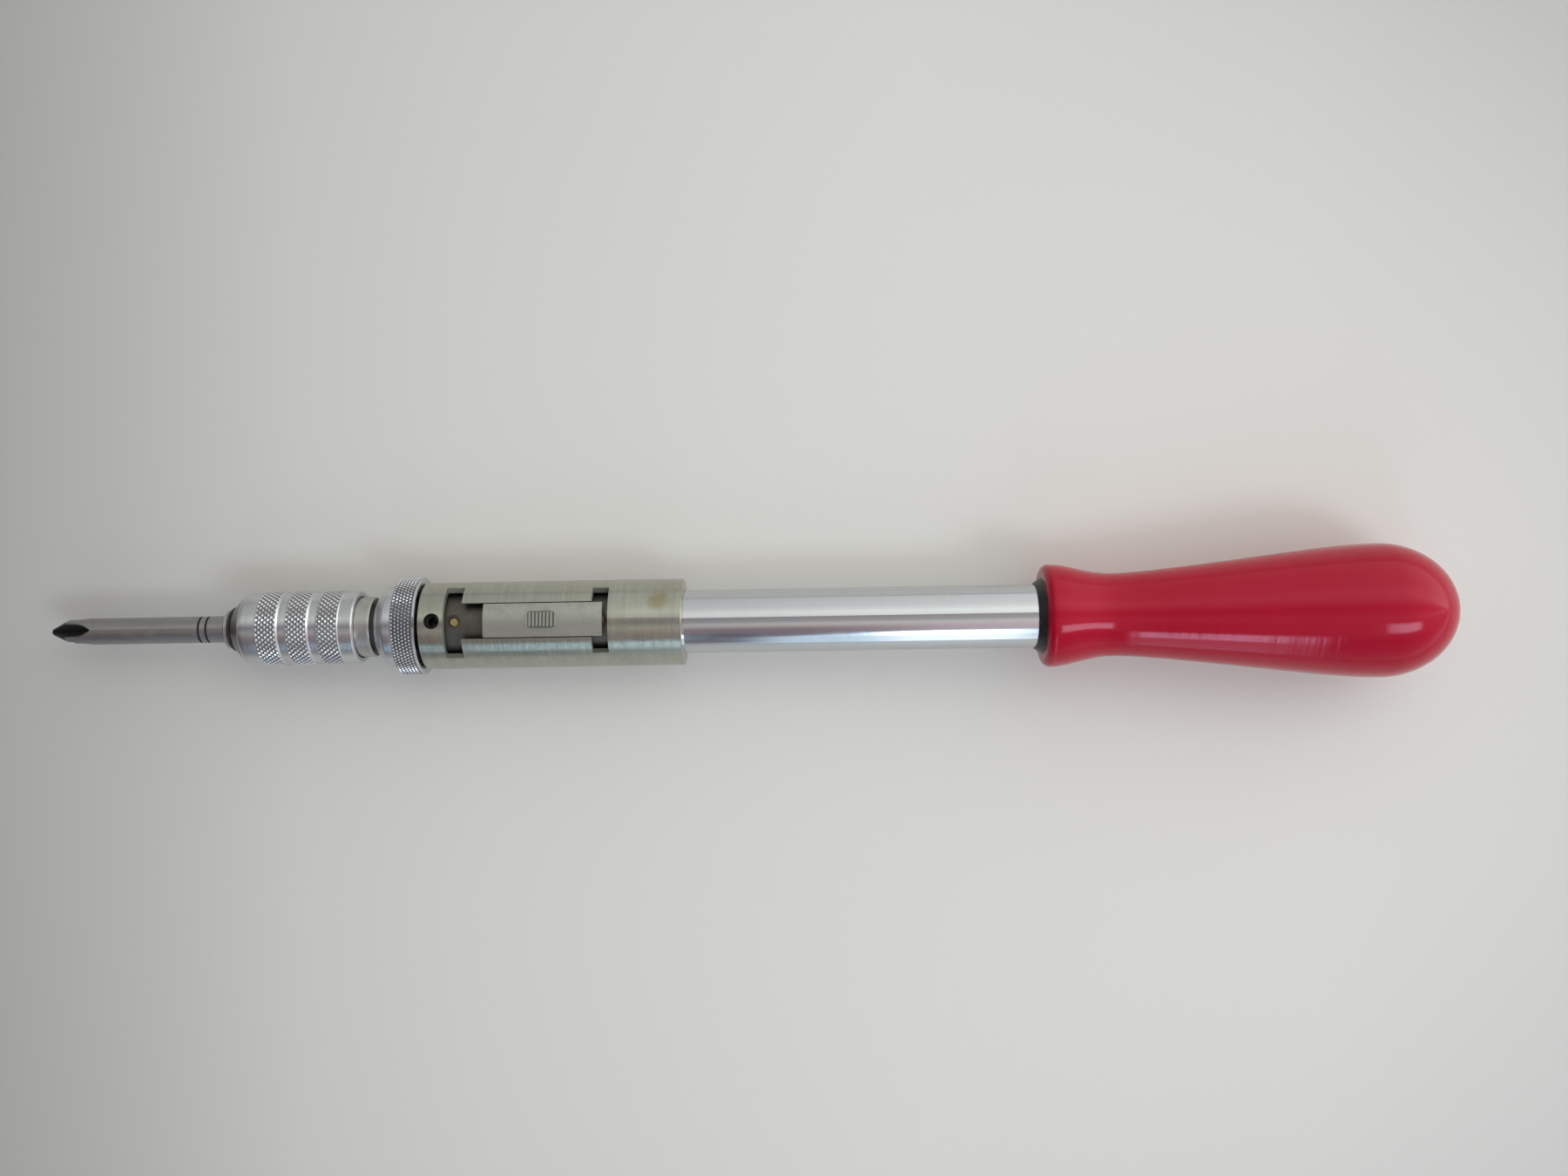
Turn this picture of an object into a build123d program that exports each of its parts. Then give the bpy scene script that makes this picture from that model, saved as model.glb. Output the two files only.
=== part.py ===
"""A push-type spiral ratchet screwdriver, closed, with a cross-point bit.

X runs along the tool's axis from the tip of the bit to the handle. +Z is the side of the ratchet
shifter. The origin is the tip of the bit. All lengths are millimetres.
"""

import os
from math import cos, radians, sin, sqrt

from build123d import *

# Clearances
press_gap = 0.02        # between pieces that are pressed or screwed together
fit_gap = 0.05          # round a shaft that turns or slides in its hole
face_gap = 0.1          # between flat faces that pass or rest on each other
free_gap = 0.3          # between pieces that must not touch
overrun = 5.0           # how far a cut runs past the piece it cuts

# Bit
bit_radius = 3.5
bit_tip_radius = 0.75
bit_cone_length = 5.1
bit_reach = 47.0        # tip of the bit to the mouth of the chuck
bit_grip = 25.0         # length of the bit inside the chuck
bit_chamfer = 0.4
flute_count = 4
flute_length = 11.5
flute_straight = 7.0
flute_tip_depth = 0.5   # from the axis to the corner of a flute, at the tip
flute_rear_depth = 1.1  # the same where the flute starts to run out
bit_ring_count = 2
bit_ring_setback = 5.3
bit_ring_pitch = 2.0
bit_ring_width = 0.6
bit_ring_depth = 0.35
bit_flat_depth = 0.9
bit_flat_length = 12.0
bit_end = bit_reach + bit_grip
bit_flat_height = bit_radius - bit_flat_depth

# Chuck body and nose ring
nose_length = 1.5
nose_step = 0.35
nose_ring_width = 1.0
nose_ring_height = 1.05
nose_ring_split = 0.6
nose_ring_chamfer = 0.3
chuck_front_wall = 1.2
chuck_step = 2.2
chuck_key_length = 6.0
chuck_disc_setback = 1.1     # of the disc's rear face from the rear of the chuck
chuck_disc_chamfer = 0.3
chuck_rear_neck_height = 0.6
chuck_shoulder_setback = 4.5
chuck_bore = bit_radius + fit_gap
chuck_front_radius = chuck_bore + chuck_front_wall
nose_radius = chuck_front_radius + nose_step
nose_end = bit_reach + nose_length
nose_ring_end = nose_end + nose_ring_width
chuck_shoulder = bit_end + chuck_shoulder_setback

# Latch ball
latch_ball_radius = 1.5
latch_setback = 10.0
latch_lift = 0.45
latch_x = bit_end - latch_setback
latch_height = bit_flat_height + fit_gap + latch_ball_radius
chuck_neck_radius = latch_height + latch_ball_radius
chuck_rear_radius = chuck_neck_radius + chuck_step

# Chuck sleeve
sleeve_length = 32.8
sleeve_travel = 4.5
sleeve_wall = 1.3
sleeve_lip_length = 2.0
sleeve_lip_gap = 0.2
sleeve_land_gap = 0.15
sleeve_land_lead = 1.0
sleeve_land_length = 5.0
sleeve_pocket_gap = 0.35    # left over the latch ball when it is out
sleeve_nose_radius = 6.0
sleeve_cone_length = 3.4
sleeve_cone_round = 2.0
sleeve_band_count = 3
sleeve_band_width = 5.1
sleeve_band_pitch = 7.95
sleeve_band_height = 0.3
sleeve_band_start = 8.0
sleeve_rear_gap = 0.5       # left behind the sleeve when it is pulled back
sleeve_front = nose_ring_end + face_gap
sleeve_rear = sleeve_front + sleeve_length
sleeve_bore = chuck_rear_radius + free_gap
sleeve_radius = sleeve_bore + sleeve_wall
sleeve_land_bore = chuck_neck_radius + sleeve_land_gap
sleeve_pocket_bore = sleeve_land_bore + latch_lift + sleeve_pocket_gap
sleeve_lip_end = sleeve_front + sleeve_lip_length
sleeve_land_front = latch_x - sleeve_land_lead
sleeve_land_rear = sleeve_land_front + sleeve_land_length
chuck_neck_front = sleeve_lip_end + sleeve_travel + free_gap
chuck_rear = sleeve_rear + sleeve_travel + sleeve_rear_gap

# Chuck spring
chuck_wire_radius = 0.45
chuck_spring_turns = 5

# Spindle
spindle_radius = 4.0
spindle_lead = 44.0
spindle_travel = 143.0
spindle_chamfer = 0.5
groove_top_width = 2.8
groove_root_width = 1.6
right_groove_depth = 1.1
left_groove_depth = 0.95
groove_starts = 2
chuck_pin_radius = 1.25
chuck_pin_setback = 3.5
spindle_front = bit_end + free_gap
chuck_pin_x = chuck_shoulder + chuck_pin_setback

# Spigot of the chuck and lock ball
spigot_wall = 1.6
spigot_length = 8.6
spigot_groove_depth = 0.9
lock_ball_radius = 1.6
lock_setback = 6.1      # from the rear face of the chuck to the ball
lock_ball_travel = 0.95
lock_turn = 40.0        # degrees that the lock ring turns
lock_cam_lead = 15.0    # degrees that the cam pocket runs on past the ball
lock_cam_steps = 8
spigot_radius = spindle_radius + spigot_wall
spigot_end = chuck_rear + spigot_length
lock_x = chuck_rear + lock_setback
lock_ball_height = spigot_radius + face_gap + lock_ball_radius + fit_gap

# Front bush and lock ring
bush_wall = 2.25
ring_length = 11.85
ring_lip_length = 1.3
ring_lip_gap = 0.45
ring_nose_radius = 7.7
ring_flange_radius = 10.65
ring_cone_length = 2.95
ring_cone_round = 0.8
ring_band_height = 2.15
ring_band_front = 5.6
ring_band_width = 5.8
ring_bevel = 0.6
clip_wire_radius = 0.4
clip_setback = 2.0
clip_opening = 30.0     # degrees
bush_bore = spigot_radius + face_gap + fit_gap
bush_radius = bush_bore + bush_wall
ring_bore = bush_radius + fit_gap
ring_front = chuck_rear + face_gap
ring_rear = ring_front + ring_length
ring_lip_end = ring_front + ring_lip_length
ring_band_radius = ring_flange_radius + ring_band_height
clip_x = ring_rear - clip_setback

# Nuts, with ratchet teeth, and the pieces that hold them
nut_radius = 6.9
nut_length = 5.0
nut_tooth_count = 12
nut_tooth_depth = 0.8
nut_notch_root = 1.5
nut_notch_top = 2.1
washer_thickness = 0.6
pawl_sleeve_wall = 1.4
pawl_sleeve_bore = nut_radius + free_gap
pawl_sleeve_radius = pawl_sleeve_bore + pawl_sleeve_wall

# Casing
casing_wall = 1.6
casing_length = 67.6
casing_chamfer = 0.25
casing_gap = 0.45           # between the lock ring and the casing
shifter_thickness = 0.9     # of the shifter's hidden flange
oil_hole_radius = 2.0
oil_hole_setback = 3.8
oil_passage_radius = 1.2
window_setback = 6.7
window_slot_width = 9.2
front_cross_width = 4.6
front_cross_angle = 54.0    # degrees to each side
rear_cross_width = 4.2
rear_cross_angle = 48.0
casing_bore = pawl_sleeve_radius + face_gap + shifter_thickness + face_gap
casing_radius = casing_bore + casing_wall
casing_front = ring_rear + casing_gap
casing_rear = casing_front + casing_length
window_front = casing_front + window_setback

# Ratchet shifter
shifter_length = 30.5
shifter_travel = 8.8
shifter_width = 8.7
shifter_margin = 1.4        # left in the window at each end of the travel
shifter_sink = 0.1
shifter_flange_length = 24.0
shifter_flange_angle = 38.0
pad_length = 8.6
pad_width = 4.4
pad_height = 0.35
pad_rib_count = 7
pad_rib_width = 0.6
pad_rib_height = 0.5
pad_rib_length_share = 0.84     # of the pad's width
pad_setback = 10.7          # from the front end of the shifter
window_length = shifter_length + shifter_travel + 2 * shifter_margin
window_rear = window_front + window_length
shifter_rear = window_rear - shifter_margin
shifter_front = shifter_rear - shifter_length
shifter_top = casing_radius - shifter_sink
shifter_under = pawl_sleeve_radius + face_gap
flange_top = shifter_under + shifter_thickness
flange_front = shifter_front + (shifter_length - shifter_flange_length) / 2

# Pawls
pawl_radius = 1.35
pawl_setback = 2.1          # from the end of the window
pawl_lift = 0.9
pawl_tip_width = 1.1
pawl_tip_length = 1.0
pawl_sink = 0.25
pawl_dome_height = 0.45
pawl_hole_rim = 0.5
pawl_hole_rim_depth = 0.6
front_pawl_x = window_front + pawl_setback
rear_pawl_x = window_rear - pawl_setback
pawl_tip_height = nut_radius - nut_tooth_depth + face_gap + fit_gap
pawl_top_height = pawl_sleeve_radius - pawl_sink

# Leaf spring under the shifter
leaf_length = 10.0
leaf_width = 4.0
leaf_thickness = 0.3
leaf_recess_depth = 0.6

# Rear bush and body tube
rear_bush_wall = 1.4
tube_wall = 0.9
rear_bush_web = 4.6         # length of the bush in front of the tube
sleeve_tail = 2.6           # how far the pawl sleeve reaches over the rear bush
washer_front = front_pawl_x - nut_length / 2 - face_gap - washer_thickness
front_bush_rear = washer_front - face_gap
washer_rear = rear_pawl_x + nut_length / 2 + face_gap
rear_bush_front = washer_rear + washer_thickness + face_gap
pawl_sleeve_rear = rear_bush_front + sleeve_tail
tube_front = rear_bush_front + rear_bush_web
tube_radius = casing_bore - press_gap - rear_bush_wall - press_gap
tube_bore = tube_radius - tube_wall

# Stop, follower, mainspring and seat
stop_length = 4.0
stop_pin_radius = 1.0
spindle_tail = 1.0
follower_thickness = 2.5
follower_spigot_length = 3.0
spring_wire_radius = 0.9
spring_pitch = 4.8
spring_turns = 10
wire_sides = 6
seat_thickness = 3.0
tube_tail = 0.5
stop_front = tube_front + spindle_travel + free_gap
stop_rear = stop_front + stop_length
stop_radius = tube_bore - free_gap
spindle_rear = stop_rear + spindle_tail
follower_front = spindle_rear + face_gap
follower_rear = follower_front + follower_thickness
follower_radius = tube_bore - face_gap
spring_radius = tube_bore - free_gap - spring_wire_radius
spring_front = follower_rear + face_gap + spring_wire_radius
spring_rear = spring_front + spring_turns * spring_pitch
seat_front = spring_rear + spring_wire_radius + face_gap
seat_rear = seat_front + seat_thickness
tube_rear = seat_rear + tube_tail

# Handle and its collar
handle_length = 106.9
handle_radius = 17.45
handle_end_wall = 8.7
handle_end_share = 0.185        # rounded rear end, as a share of the handle's length
handle_bead_share = 0.768
handle_shoulder_shares = ((0.064, 0.731), (0.115, 0.657))
handle_neck_share = (0.168, 0.621)
handle_swell_shares = ((0.258, 0.652), (0.405, 0.747), (0.595, 0.888), (0.721, 0.972))
handle_rim_round = 1.8
collar_length = 1.9
collar_front_wall = 0.4
collar_rear_wall = 1.7
handle_rear = tube_rear + handle_end_wall
handle_front = handle_rear - handle_length
collar_front = handle_front - collar_length

# Crossed grooves: one cell spans one crossing, and each next cell is turned by a quarter
cell_length = spindle_lead / (2 * groove_starts)
cell_turn = 360 / (2 * groove_starts)
cell_doublings = 4
extra_doublings = 1
cell_count = 2 ** cell_doublings + 2 ** extra_doublings
groove_front = spigot_end + free_gap
groove_rear = groove_front + cell_count * cell_length
groove_reference = groove_front + cell_length / 2


def ring_section(front, rear, bore, radius):
    """Draw the half section of a plain ring round the axis."""
    Polygon((front, bore), (rear, bore), (rear, radius), (front, radius))


def turned_nose(front, front_radius, length, radius, rear, rounding):
    """Draw a turned nose: a cone, a rounded corner, and the straight run behind it."""
    corner = (front + length, radius)
    return FilletPolyline((front, front_radius), corner, (rear, radius), radius=rounding)


def wedge(half_angle, reach, mode):
    """Draw a wedge from the axis towards +Z, on a plane square to the axis."""
    side = reach * sin(radians(half_angle))
    height = reach * cos(radians(half_angle))
    Polygon((0, 0), (side, height), (-side, height), mode=mode)


def spiral_bar(hand, start, front, length, low, high, low_width, high_width):
    """A bar that winds round the axis with the spindle's lead, from its angle at the front end."""
    with BuildSketch(Plane.YZ) as section:
        Polygon((-low_width / 2, low), (low_width / 2, low),
                (high_width / 2, high), (-high_width / 2, high))
    face = section.sketch.faces()[0].rotate(Axis.X, start)
    turn = hand * 360 * length / spindle_lead
    bar = Solid.extrude_linear_with_rotation(face, center=(0, 0, 0), normal=(length, 0, 0), angle=turn)
    return bar.moved(Location((front, 0, 0)))


def groove_angle(hand, place, start):
    """Angle round the axis of one groove of a hand, at a place along the axis."""
    return hand * 360 * (place - groove_reference) / spindle_lead + start * 360 / groove_starts


def helix_point(radius, front, pitch, turns):
    """Point of a helix round the axis after a number of turns."""
    angle = radians(360 * turns)
    return Vector(front + pitch * turns, radius * cos(angle), radius * sin(angle))


def helix_tangent(radius, pitch, turns):
    """Direction of the same helix."""
    angle = radians(360 * turns)
    round_length = radians(360) * radius
    return Vector(pitch, -round_length * sin(angle), round_length * cos(angle)).normalized()


def spring_path(radius, front, pitch, turns, steps_per_turn):
    """Draw a helix as pairs of arcs that meet in line."""
    for step in range(turns * steps_per_turn):
        first = helix_point(radius, front, pitch, step / steps_per_turn)
        last = helix_point(radius, front, pitch, (step + 1) / steps_per_turn)
        leave = helix_tangent(radius, pitch, step / steps_per_turn)
        arrive = helix_tangent(radius, pitch, (step + 1) / steps_per_turn)
        span = last - first
        both = leave + arrive
        spread = 2 * (1 - leave.dot(arrive))
        reach = (sqrt(span.dot(both) ** 2 + spread * span.dot(span)) - span.dot(both)) / spread
        middle = (first + leave * reach + last - arrive * reach) * (1 / 2)
        TangentArc(first, middle, tangent=leave)
        TangentArc(middle, last, tangent=last - arrive * reach - middle)


os.makedirs("parts", exist_ok=True)


def save(piece, name):
    """Label a finished piece and write its file."""
    piece.label = name
    export_step(piece, f"parts/{name}.step")


# Bit: round bar, cone and blunt tip, four flutes, two ring grooves, flat at the tail
with BuildPart() as bit:
    with BuildSketch(Plane.XZ):
        Polygon((0, 0), (0, bit_tip_radius), (bit_cone_length, bit_radius),
                (bit_end - bit_chamfer, bit_radius), (bit_end, bit_radius - bit_chamfer), (bit_end, 0))
    revolve(axis=Axis.X)
    with BuildSketch(Plane.XZ):
        for ring in range(bit_ring_count):
            ring_front_x = bit_reach - bit_ring_setback - ring * bit_ring_pitch
            ring_section(ring_front_x, ring_front_x + bit_ring_width,
                         bit_radius - bit_ring_depth, bit_radius + overrun)
    revolve(axis=Axis.X, mode=Mode.SUBTRACT)
    with BuildSketch(Plane.XY.offset(bit_flat_height)):
        with Locations((bit_end, 0)):
            Rectangle(2 * bit_flat_length, 2 * bit_radius + overrun)
    extrude(amount=bit_radius, mode=Mode.SUBTRACT)
    flute_slope = (flute_rear_depth - flute_tip_depth) / flute_straight
    for flute in range(flute_count):
        turned = Plane.XZ.rotated((360 * flute / flute_count, 0, 0))
        with BuildLine(turned) as flute_path:
            floor = Line((-overrun, flute_tip_depth - overrun * flute_slope),
                         (flute_straight, flute_rear_depth))
            TangentArc(floor @ 1, (flute_length, bit_radius), tangent=floor % 1)
        with BuildSketch(Plane(origin=floor @ 0, x_dir=-turned.z_dir, z_dir=floor % 0)):
            corner = bit_radius + overrun
            Polygon((0, 0), (corner, corner), (-corner, corner))
        sweep(path=flute_path.line, transition=Transition.ROUND, mode=Mode.SUBTRACT)
save(bit.part, "bit")

# Black retaining ring on the nose, split below, that the sleeve rests on
with BuildPart() as nose_ring:
    with BuildSketch(Plane.XZ):
        ring_section(nose_end, nose_ring_end, chuck_front_radius + press_gap,
                     chuck_front_radius + nose_ring_height)
    revolve(axis=Axis.X)
    with BuildSketch(Plane.XY):
        with Locations(((nose_end + nose_ring_end) / 2, 0)):
            Rectangle(nose_ring_width + overrun, nose_ring_split)
    extrude(amount=-sleeve_radius, mode=Mode.SUBTRACT)
    chamfer(nose_ring.edges().filter_by(GeomType.CIRCLE).group_by(SortBy.RADIUS)[-1], nose_ring_chamfer)
save(nose_ring.part, "nose_ring")

# Chuck body: nose, neck with the latch ball's hole, rear with the cross pin, spigot for the lock
with BuildPart() as chuck_body:
    disc_rear = chuck_rear - chuck_disc_setback
    rear_neck_radius = spigot_radius + chuck_rear_neck_height
    with BuildSketch(Plane.XZ):
        with BuildLine():
            Polyline(
                (bit_reach, 0), (bit_reach, nose_radius), (nose_end, nose_radius),
                (nose_end, chuck_front_radius), (chuck_neck_front, chuck_front_radius),
                (chuck_neck_front, chuck_neck_radius), (chuck_shoulder, chuck_neck_radius),
                (chuck_shoulder, chuck_rear_radius), (disc_rear - chuck_disc_chamfer, chuck_rear_radius),
                (disc_rear, chuck_rear_radius - chuck_disc_chamfer), (disc_rear, rear_neck_radius),
                (chuck_rear, rear_neck_radius), (chuck_rear, spigot_radius),
                (spigot_end, spigot_radius), (spigot_end, 0), close=True,
            )
        make_face()
    revolve(axis=Axis.X)
    chamfer(chuck_body.edges().filter_by(GeomType.CIRCLE).sort_by(Axis.X)[0], nose_step)
    with BuildSketch(Plane.YZ.offset(bit_reach - overrun)):
        Circle(chuck_bore)
    extrude(amount=overrun + bit_end + free_gap - chuck_key_length - bit_reach, mode=Mode.SUBTRACT)
    with BuildSketch(Plane.YZ.offset(bit_end + free_gap - chuck_key_length)):
        Circle(chuck_bore)
        with Locations((0, bit_flat_height + fit_gap - chuck_bore)):
            Rectangle(2 * chuck_bore, 2 * chuck_bore, mode=Mode.INTERSECT)
    extrude(amount=chuck_key_length, mode=Mode.SUBTRACT)
    with BuildSketch(Plane.YZ.offset(spindle_front)):
        Circle(spindle_radius + press_gap)
    extrude(amount=spigot_end + overrun - spindle_front, mode=Mode.SUBTRACT)
    with BuildSketch(Plane.XZ):
        ring_section(lock_x - lock_ball_radius, lock_x + lock_ball_radius,
                     spigot_radius - spigot_groove_depth, spigot_radius + face_gap)
    revolve(axis=Axis.X, mode=Mode.SUBTRACT)
    with BuildSketch(Plane.XY):
        with Locations((latch_x, 0)):
            Circle(latch_ball_radius + fit_gap)
    extrude(amount=chuck_neck_radius + overrun, mode=Mode.SUBTRACT)
    with BuildSketch(Plane.XY):
        with Locations((chuck_pin_x, 0)):
            Circle(chuck_pin_radius + press_gap)
    extrude(amount=chuck_rear_radius + overrun, both=True, mode=Mode.SUBTRACT)
save(chuck_body.part, "chuck_body")

# Ball that holds the bit
with BuildPart() as latch_ball:
    with Locations((latch_x, 0, latch_height)):
        Sphere(latch_ball_radius)
save(latch_ball.part, "latch_ball")

# Chuck sleeve: cone, three raised bands with hollow waists between them, stepped bore
with BuildPart() as chuck_sleeve:
    with BuildSketch(Plane.XZ):
        with BuildLine():
            crest = sleeve_radius + sleeve_band_height
            first_band = sleeve_front + sleeve_band_start
            nose = turned_nose(sleeve_front, sleeve_nose_radius, sleeve_cone_length, sleeve_radius,
                               first_band - sleeve_band_height, sleeve_cone_round)
            here = nose @ 1
            for band in range(sleeve_band_count):
                band_front = first_band + band * sleeve_band_pitch
                band_rear = band_front + sleeve_band_width
                raised = Polyline(here, (band_front, crest), (band_rear, crest),
                                  (band_rear + sleeve_band_height, sleeve_radius))
                here = raised @ 1
                if band < sleeve_band_count - 1:
                    next_front = band_front + sleeve_band_pitch - sleeve_band_height
                    waist = ((here.X + next_front) / 2, sleeve_radius - sleeve_band_height)
                    here = ThreePointArc(here, waist, (next_front, sleeve_radius)) @ 1
            Polyline(
                here, (sleeve_rear - sleeve_band_height, sleeve_radius),
                (sleeve_rear, sleeve_radius - sleeve_band_height), (sleeve_rear, sleeve_bore),
                (sleeve_land_rear, sleeve_bore), (sleeve_land_rear, sleeve_land_bore),
                (sleeve_land_front, sleeve_land_bore), (sleeve_land_front, sleeve_pocket_bore),
                (sleeve_lip_end, sleeve_pocket_bore), (sleeve_lip_end, chuck_front_radius + sleeve_lip_gap),
                (sleeve_front, chuck_front_radius + sleeve_lip_gap), (sleeve_front, sleeve_nose_radius),
            )
        make_face()
    revolve(axis=Axis.X)
save(chuck_sleeve.part, "chuck_sleeve")

# Spring that returns the sleeve
chuck_spring_radius = chuck_neck_radius + face_gap + chuck_wire_radius
chuck_spring_front = sleeve_land_rear + face_gap + chuck_wire_radius
chuck_spring_rear = chuck_shoulder - face_gap - chuck_wire_radius
chuck_spring_pitch = (chuck_spring_rear - chuck_spring_front) / chuck_spring_turns
with BuildPart() as chuck_spring:
    with BuildLine() as chuck_spring_line:
        spring_path(chuck_spring_radius, chuck_spring_front, chuck_spring_pitch, chuck_spring_turns, 2)
    chuck_spring_start = Plane(origin=chuck_spring_line.line @ 0, z_dir=chuck_spring_line.line % 0)
    with BuildSketch(chuck_spring_start):
        RegularPolygon(chuck_wire_radius, wire_sides)
    sweep(path=chuck_spring_line.line)
save(chuck_spring.part, "chuck_spring")

# Cross pin that fixes the chuck on the spindle
with BuildPart() as chuck_pin:
    with BuildSketch(Plane.XY):
        with Locations((chuck_pin_x, 0)):
            Circle(chuck_pin_radius)
    extrude(amount=chuck_rear_radius - face_gap, both=True)
save(chuck_pin.part, "chuck_pin")

# One crossing of a right-hand and a left-hand pair of grooves
cell_front = groove_reference - cell_length / 2
cell_margin = face_gap + fit_gap
with BuildPart() as groove_cell:
    with BuildSketch(Plane.YZ.offset(cell_front)):
        Circle(spindle_radius)
    extrude(amount=cell_length)
    for hand, depth in ((1, right_groove_depth), (-1, left_groove_depth)):
        for start in range(groove_starts):
            bar_front = cell_front - cell_margin
            add(
                spiral_bar(hand, groove_angle(hand, bar_front, start), bar_front,
                           cell_length + 2 * cell_margin, spindle_radius - depth,
                           spindle_radius + depth / 2, groove_root_width, groove_top_width),
                mode=Mode.SUBTRACT,
            )



def next_run(run, cells):
    """Copy of a grooved length, set on behind a number of cells and turned to match."""
    return run.rotate(Axis.X, cells * cell_turn).moved(Location((cells * cell_length, 0, 0)))


# The grooved length doubles with each copy
grooved = groove_cell.part
short_run = grooved
for doubling in range(cell_doublings):
    if doubling == extra_doublings:
        short_run = grooved
    grooved = grooved + next_run(grooved, 2 ** doubling)
tail_run = next_run(short_run, 2 ** cell_doublings)

# Spindle: plain front end in the chuck, grooved length, plain rear end for the stop
with BuildPart() as spindle:
    with BuildSketch(Plane.YZ.offset(spindle_front)):
        Circle(spindle_radius)
    extrude(amount=groove_front - spindle_front)
    with BuildSketch(Plane.YZ.offset(groove_rear)):
        Circle(spindle_radius)
    extrude(amount=spindle_rear - groove_rear)
    chamfer(spindle.edges().filter_by(GeomType.CIRCLE).sort_by(Axis.X)[-1], spindle_chamfer)
    add([grooved, tail_run])
    with BuildSketch(Plane.XY):
        with Locations((chuck_pin_x, 0)):
            Circle(chuck_pin_radius + press_gap)
        with Locations(((stop_front + stop_rear) / 2, 0)):
            Circle(stop_pin_radius + press_gap)
    extrude(amount=spindle_radius + overrun, both=True, mode=Mode.SUBTRACT)
save(spindle.part, "spindle")

# Lock ring: coned flange, raised band, lip at the front, cam pocket for the ball
with BuildPart() as lock_ring:
    with BuildSketch(Plane.XZ):
        with BuildLine():
            knurl_front = ring_front + ring_band_front
            bevel_radius = ring_band_radius - ring_bevel
            nose = turned_nose(ring_front, ring_nose_radius, ring_cone_length, ring_flange_radius,
                               knurl_front - ring_bevel, ring_cone_round)
            Polyline(
                nose @ 1, (knurl_front, bevel_radius),
                (knurl_front + ring_bevel, ring_band_radius),
                (knurl_front + ring_band_width, ring_band_radius),
                (ring_rear - face_gap, bevel_radius), (ring_rear, bevel_radius),
                (ring_rear, ring_bore), (ring_lip_end, ring_bore), (ring_lip_end, bush_bore + ring_lip_gap),
                (ring_front, bush_bore + ring_lip_gap), (ring_front, ring_nose_radius),
            )
        make_face()
    revolve(axis=Axis.X)
    with BuildSketch(Plane.XZ):
        ring_section(clip_x - clip_wire_radius - fit_gap, clip_x + clip_wire_radius + fit_gap,
                     bush_radius, bush_radius + clip_wire_radius + fit_gap)
    revolve(axis=Axis.X, mode=Mode.SUBTRACT)
    with BuildSketch(Plane.YZ.offset(lock_x - lock_ball_radius - face_gap)):
        cam_top = lock_ball_height + lock_ball_radius + face_gap
        cam_start = radians(-lock_cam_lead)
        cam_points = [(cam_top * sin(cam_start), cam_top * cos(cam_start))]
        for step in range(lock_cam_steps + 1):
            cam_angle = radians(step * lock_turn / lock_cam_steps)
            cam_height = cam_top - lock_ball_travel * step / lock_cam_steps
            cam_points.append((cam_height * sin(cam_angle), cam_height * cos(cam_angle)))
        Polygon((0, 0), *cam_points)
    extrude(amount=2 * (lock_ball_radius + face_gap), mode=Mode.SUBTRACT)
save(lock_ring.part, "lock_ring")

# Wire clip, half in the bush and half in the lock ring
with BuildPart() as lock_ring_clip:
    with BuildSketch(Plane.XZ):
        with Locations((clip_x, bush_radius)):
            RegularPolygon(clip_wire_radius, wire_sides)
    revolve(axis=Axis.X, revolution_arc=360 - clip_opening)
save(lock_ring_clip.part, "lock_ring_clip")

# Lock ball
with BuildPart() as lock_ball:
    with Locations((lock_x, 0, lock_ball_height)):
        Sphere(lock_ball_radius)
save(lock_ball.part, "lock_ball")

# Front bush: journal of the lock ring, spigot bore, spindle bore, plug in the casing
with BuildPart() as front_bush:
    bush_front = ring_lip_end + face_gap
    plug_front = casing_front + casing_chamfer
    with BuildSketch(Plane.XZ):
        ring_section(bush_front, plug_front, spindle_radius + face_gap, bush_radius)
        ring_section(plug_front, front_bush_rear, spindle_radius + face_gap, casing_bore - press_gap)
    revolve(axis=Axis.X)
    with BuildSketch(Plane.YZ.offset(bush_front)):
        Circle(bush_bore)
    extrude(amount=spigot_end + free_gap - bush_front, mode=Mode.SUBTRACT)
    with BuildSketch(Plane.XZ):
        ring_section(clip_x - clip_wire_radius - fit_gap, clip_x + clip_wire_radius + fit_gap,
                     bush_radius - clip_wire_radius - fit_gap, bush_radius + face_gap)
    revolve(axis=Axis.X, mode=Mode.SUBTRACT)
    with BuildSketch(Plane.XY):
        with Locations((lock_x, 0)):
            Circle(lock_ball_radius + fit_gap)
        with Locations((casing_front + oil_hole_setback, 0)):
            Circle(oil_passage_radius)
    extrude(amount=casing_radius, mode=Mode.SUBTRACT)
save(front_bush.part, "front_bush")

# Casing: tube with the oil hole and the I-shaped window of the shifter
with BuildPart() as casing:
    with BuildSketch(Plane.XZ):
        ring_section(casing_front, casing_rear, casing_bore, casing_radius)
    revolve(axis=Axis.X)
    chamfer(casing.edges().filter_by(GeomType.CIRCLE).group_by(SortBy.RADIUS)[-1], casing_chamfer)
    with BuildSketch(Plane.XY):
        with Locations((casing_front + oil_hole_setback, 0)):
            Circle(oil_hole_radius)
        with Locations(((window_front + window_rear) / 2, 0)):
            Rectangle(window_length, window_slot_width)
    extrude(amount=casing_radius + overrun, mode=Mode.SUBTRACT)
    with BuildSketch(Plane.YZ.offset(window_front)):
        wedge(front_cross_angle, 2 * casing_radius, Mode.ADD)
    extrude(amount=front_cross_width, mode=Mode.SUBTRACT)
    with BuildSketch(Plane.YZ.offset(window_rear - rear_cross_width)):
        wedge(rear_cross_angle, 2 * casing_radius, Mode.ADD)
    extrude(amount=rear_cross_width, mode=Mode.SUBTRACT)
save(casing.part, "casing")

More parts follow.
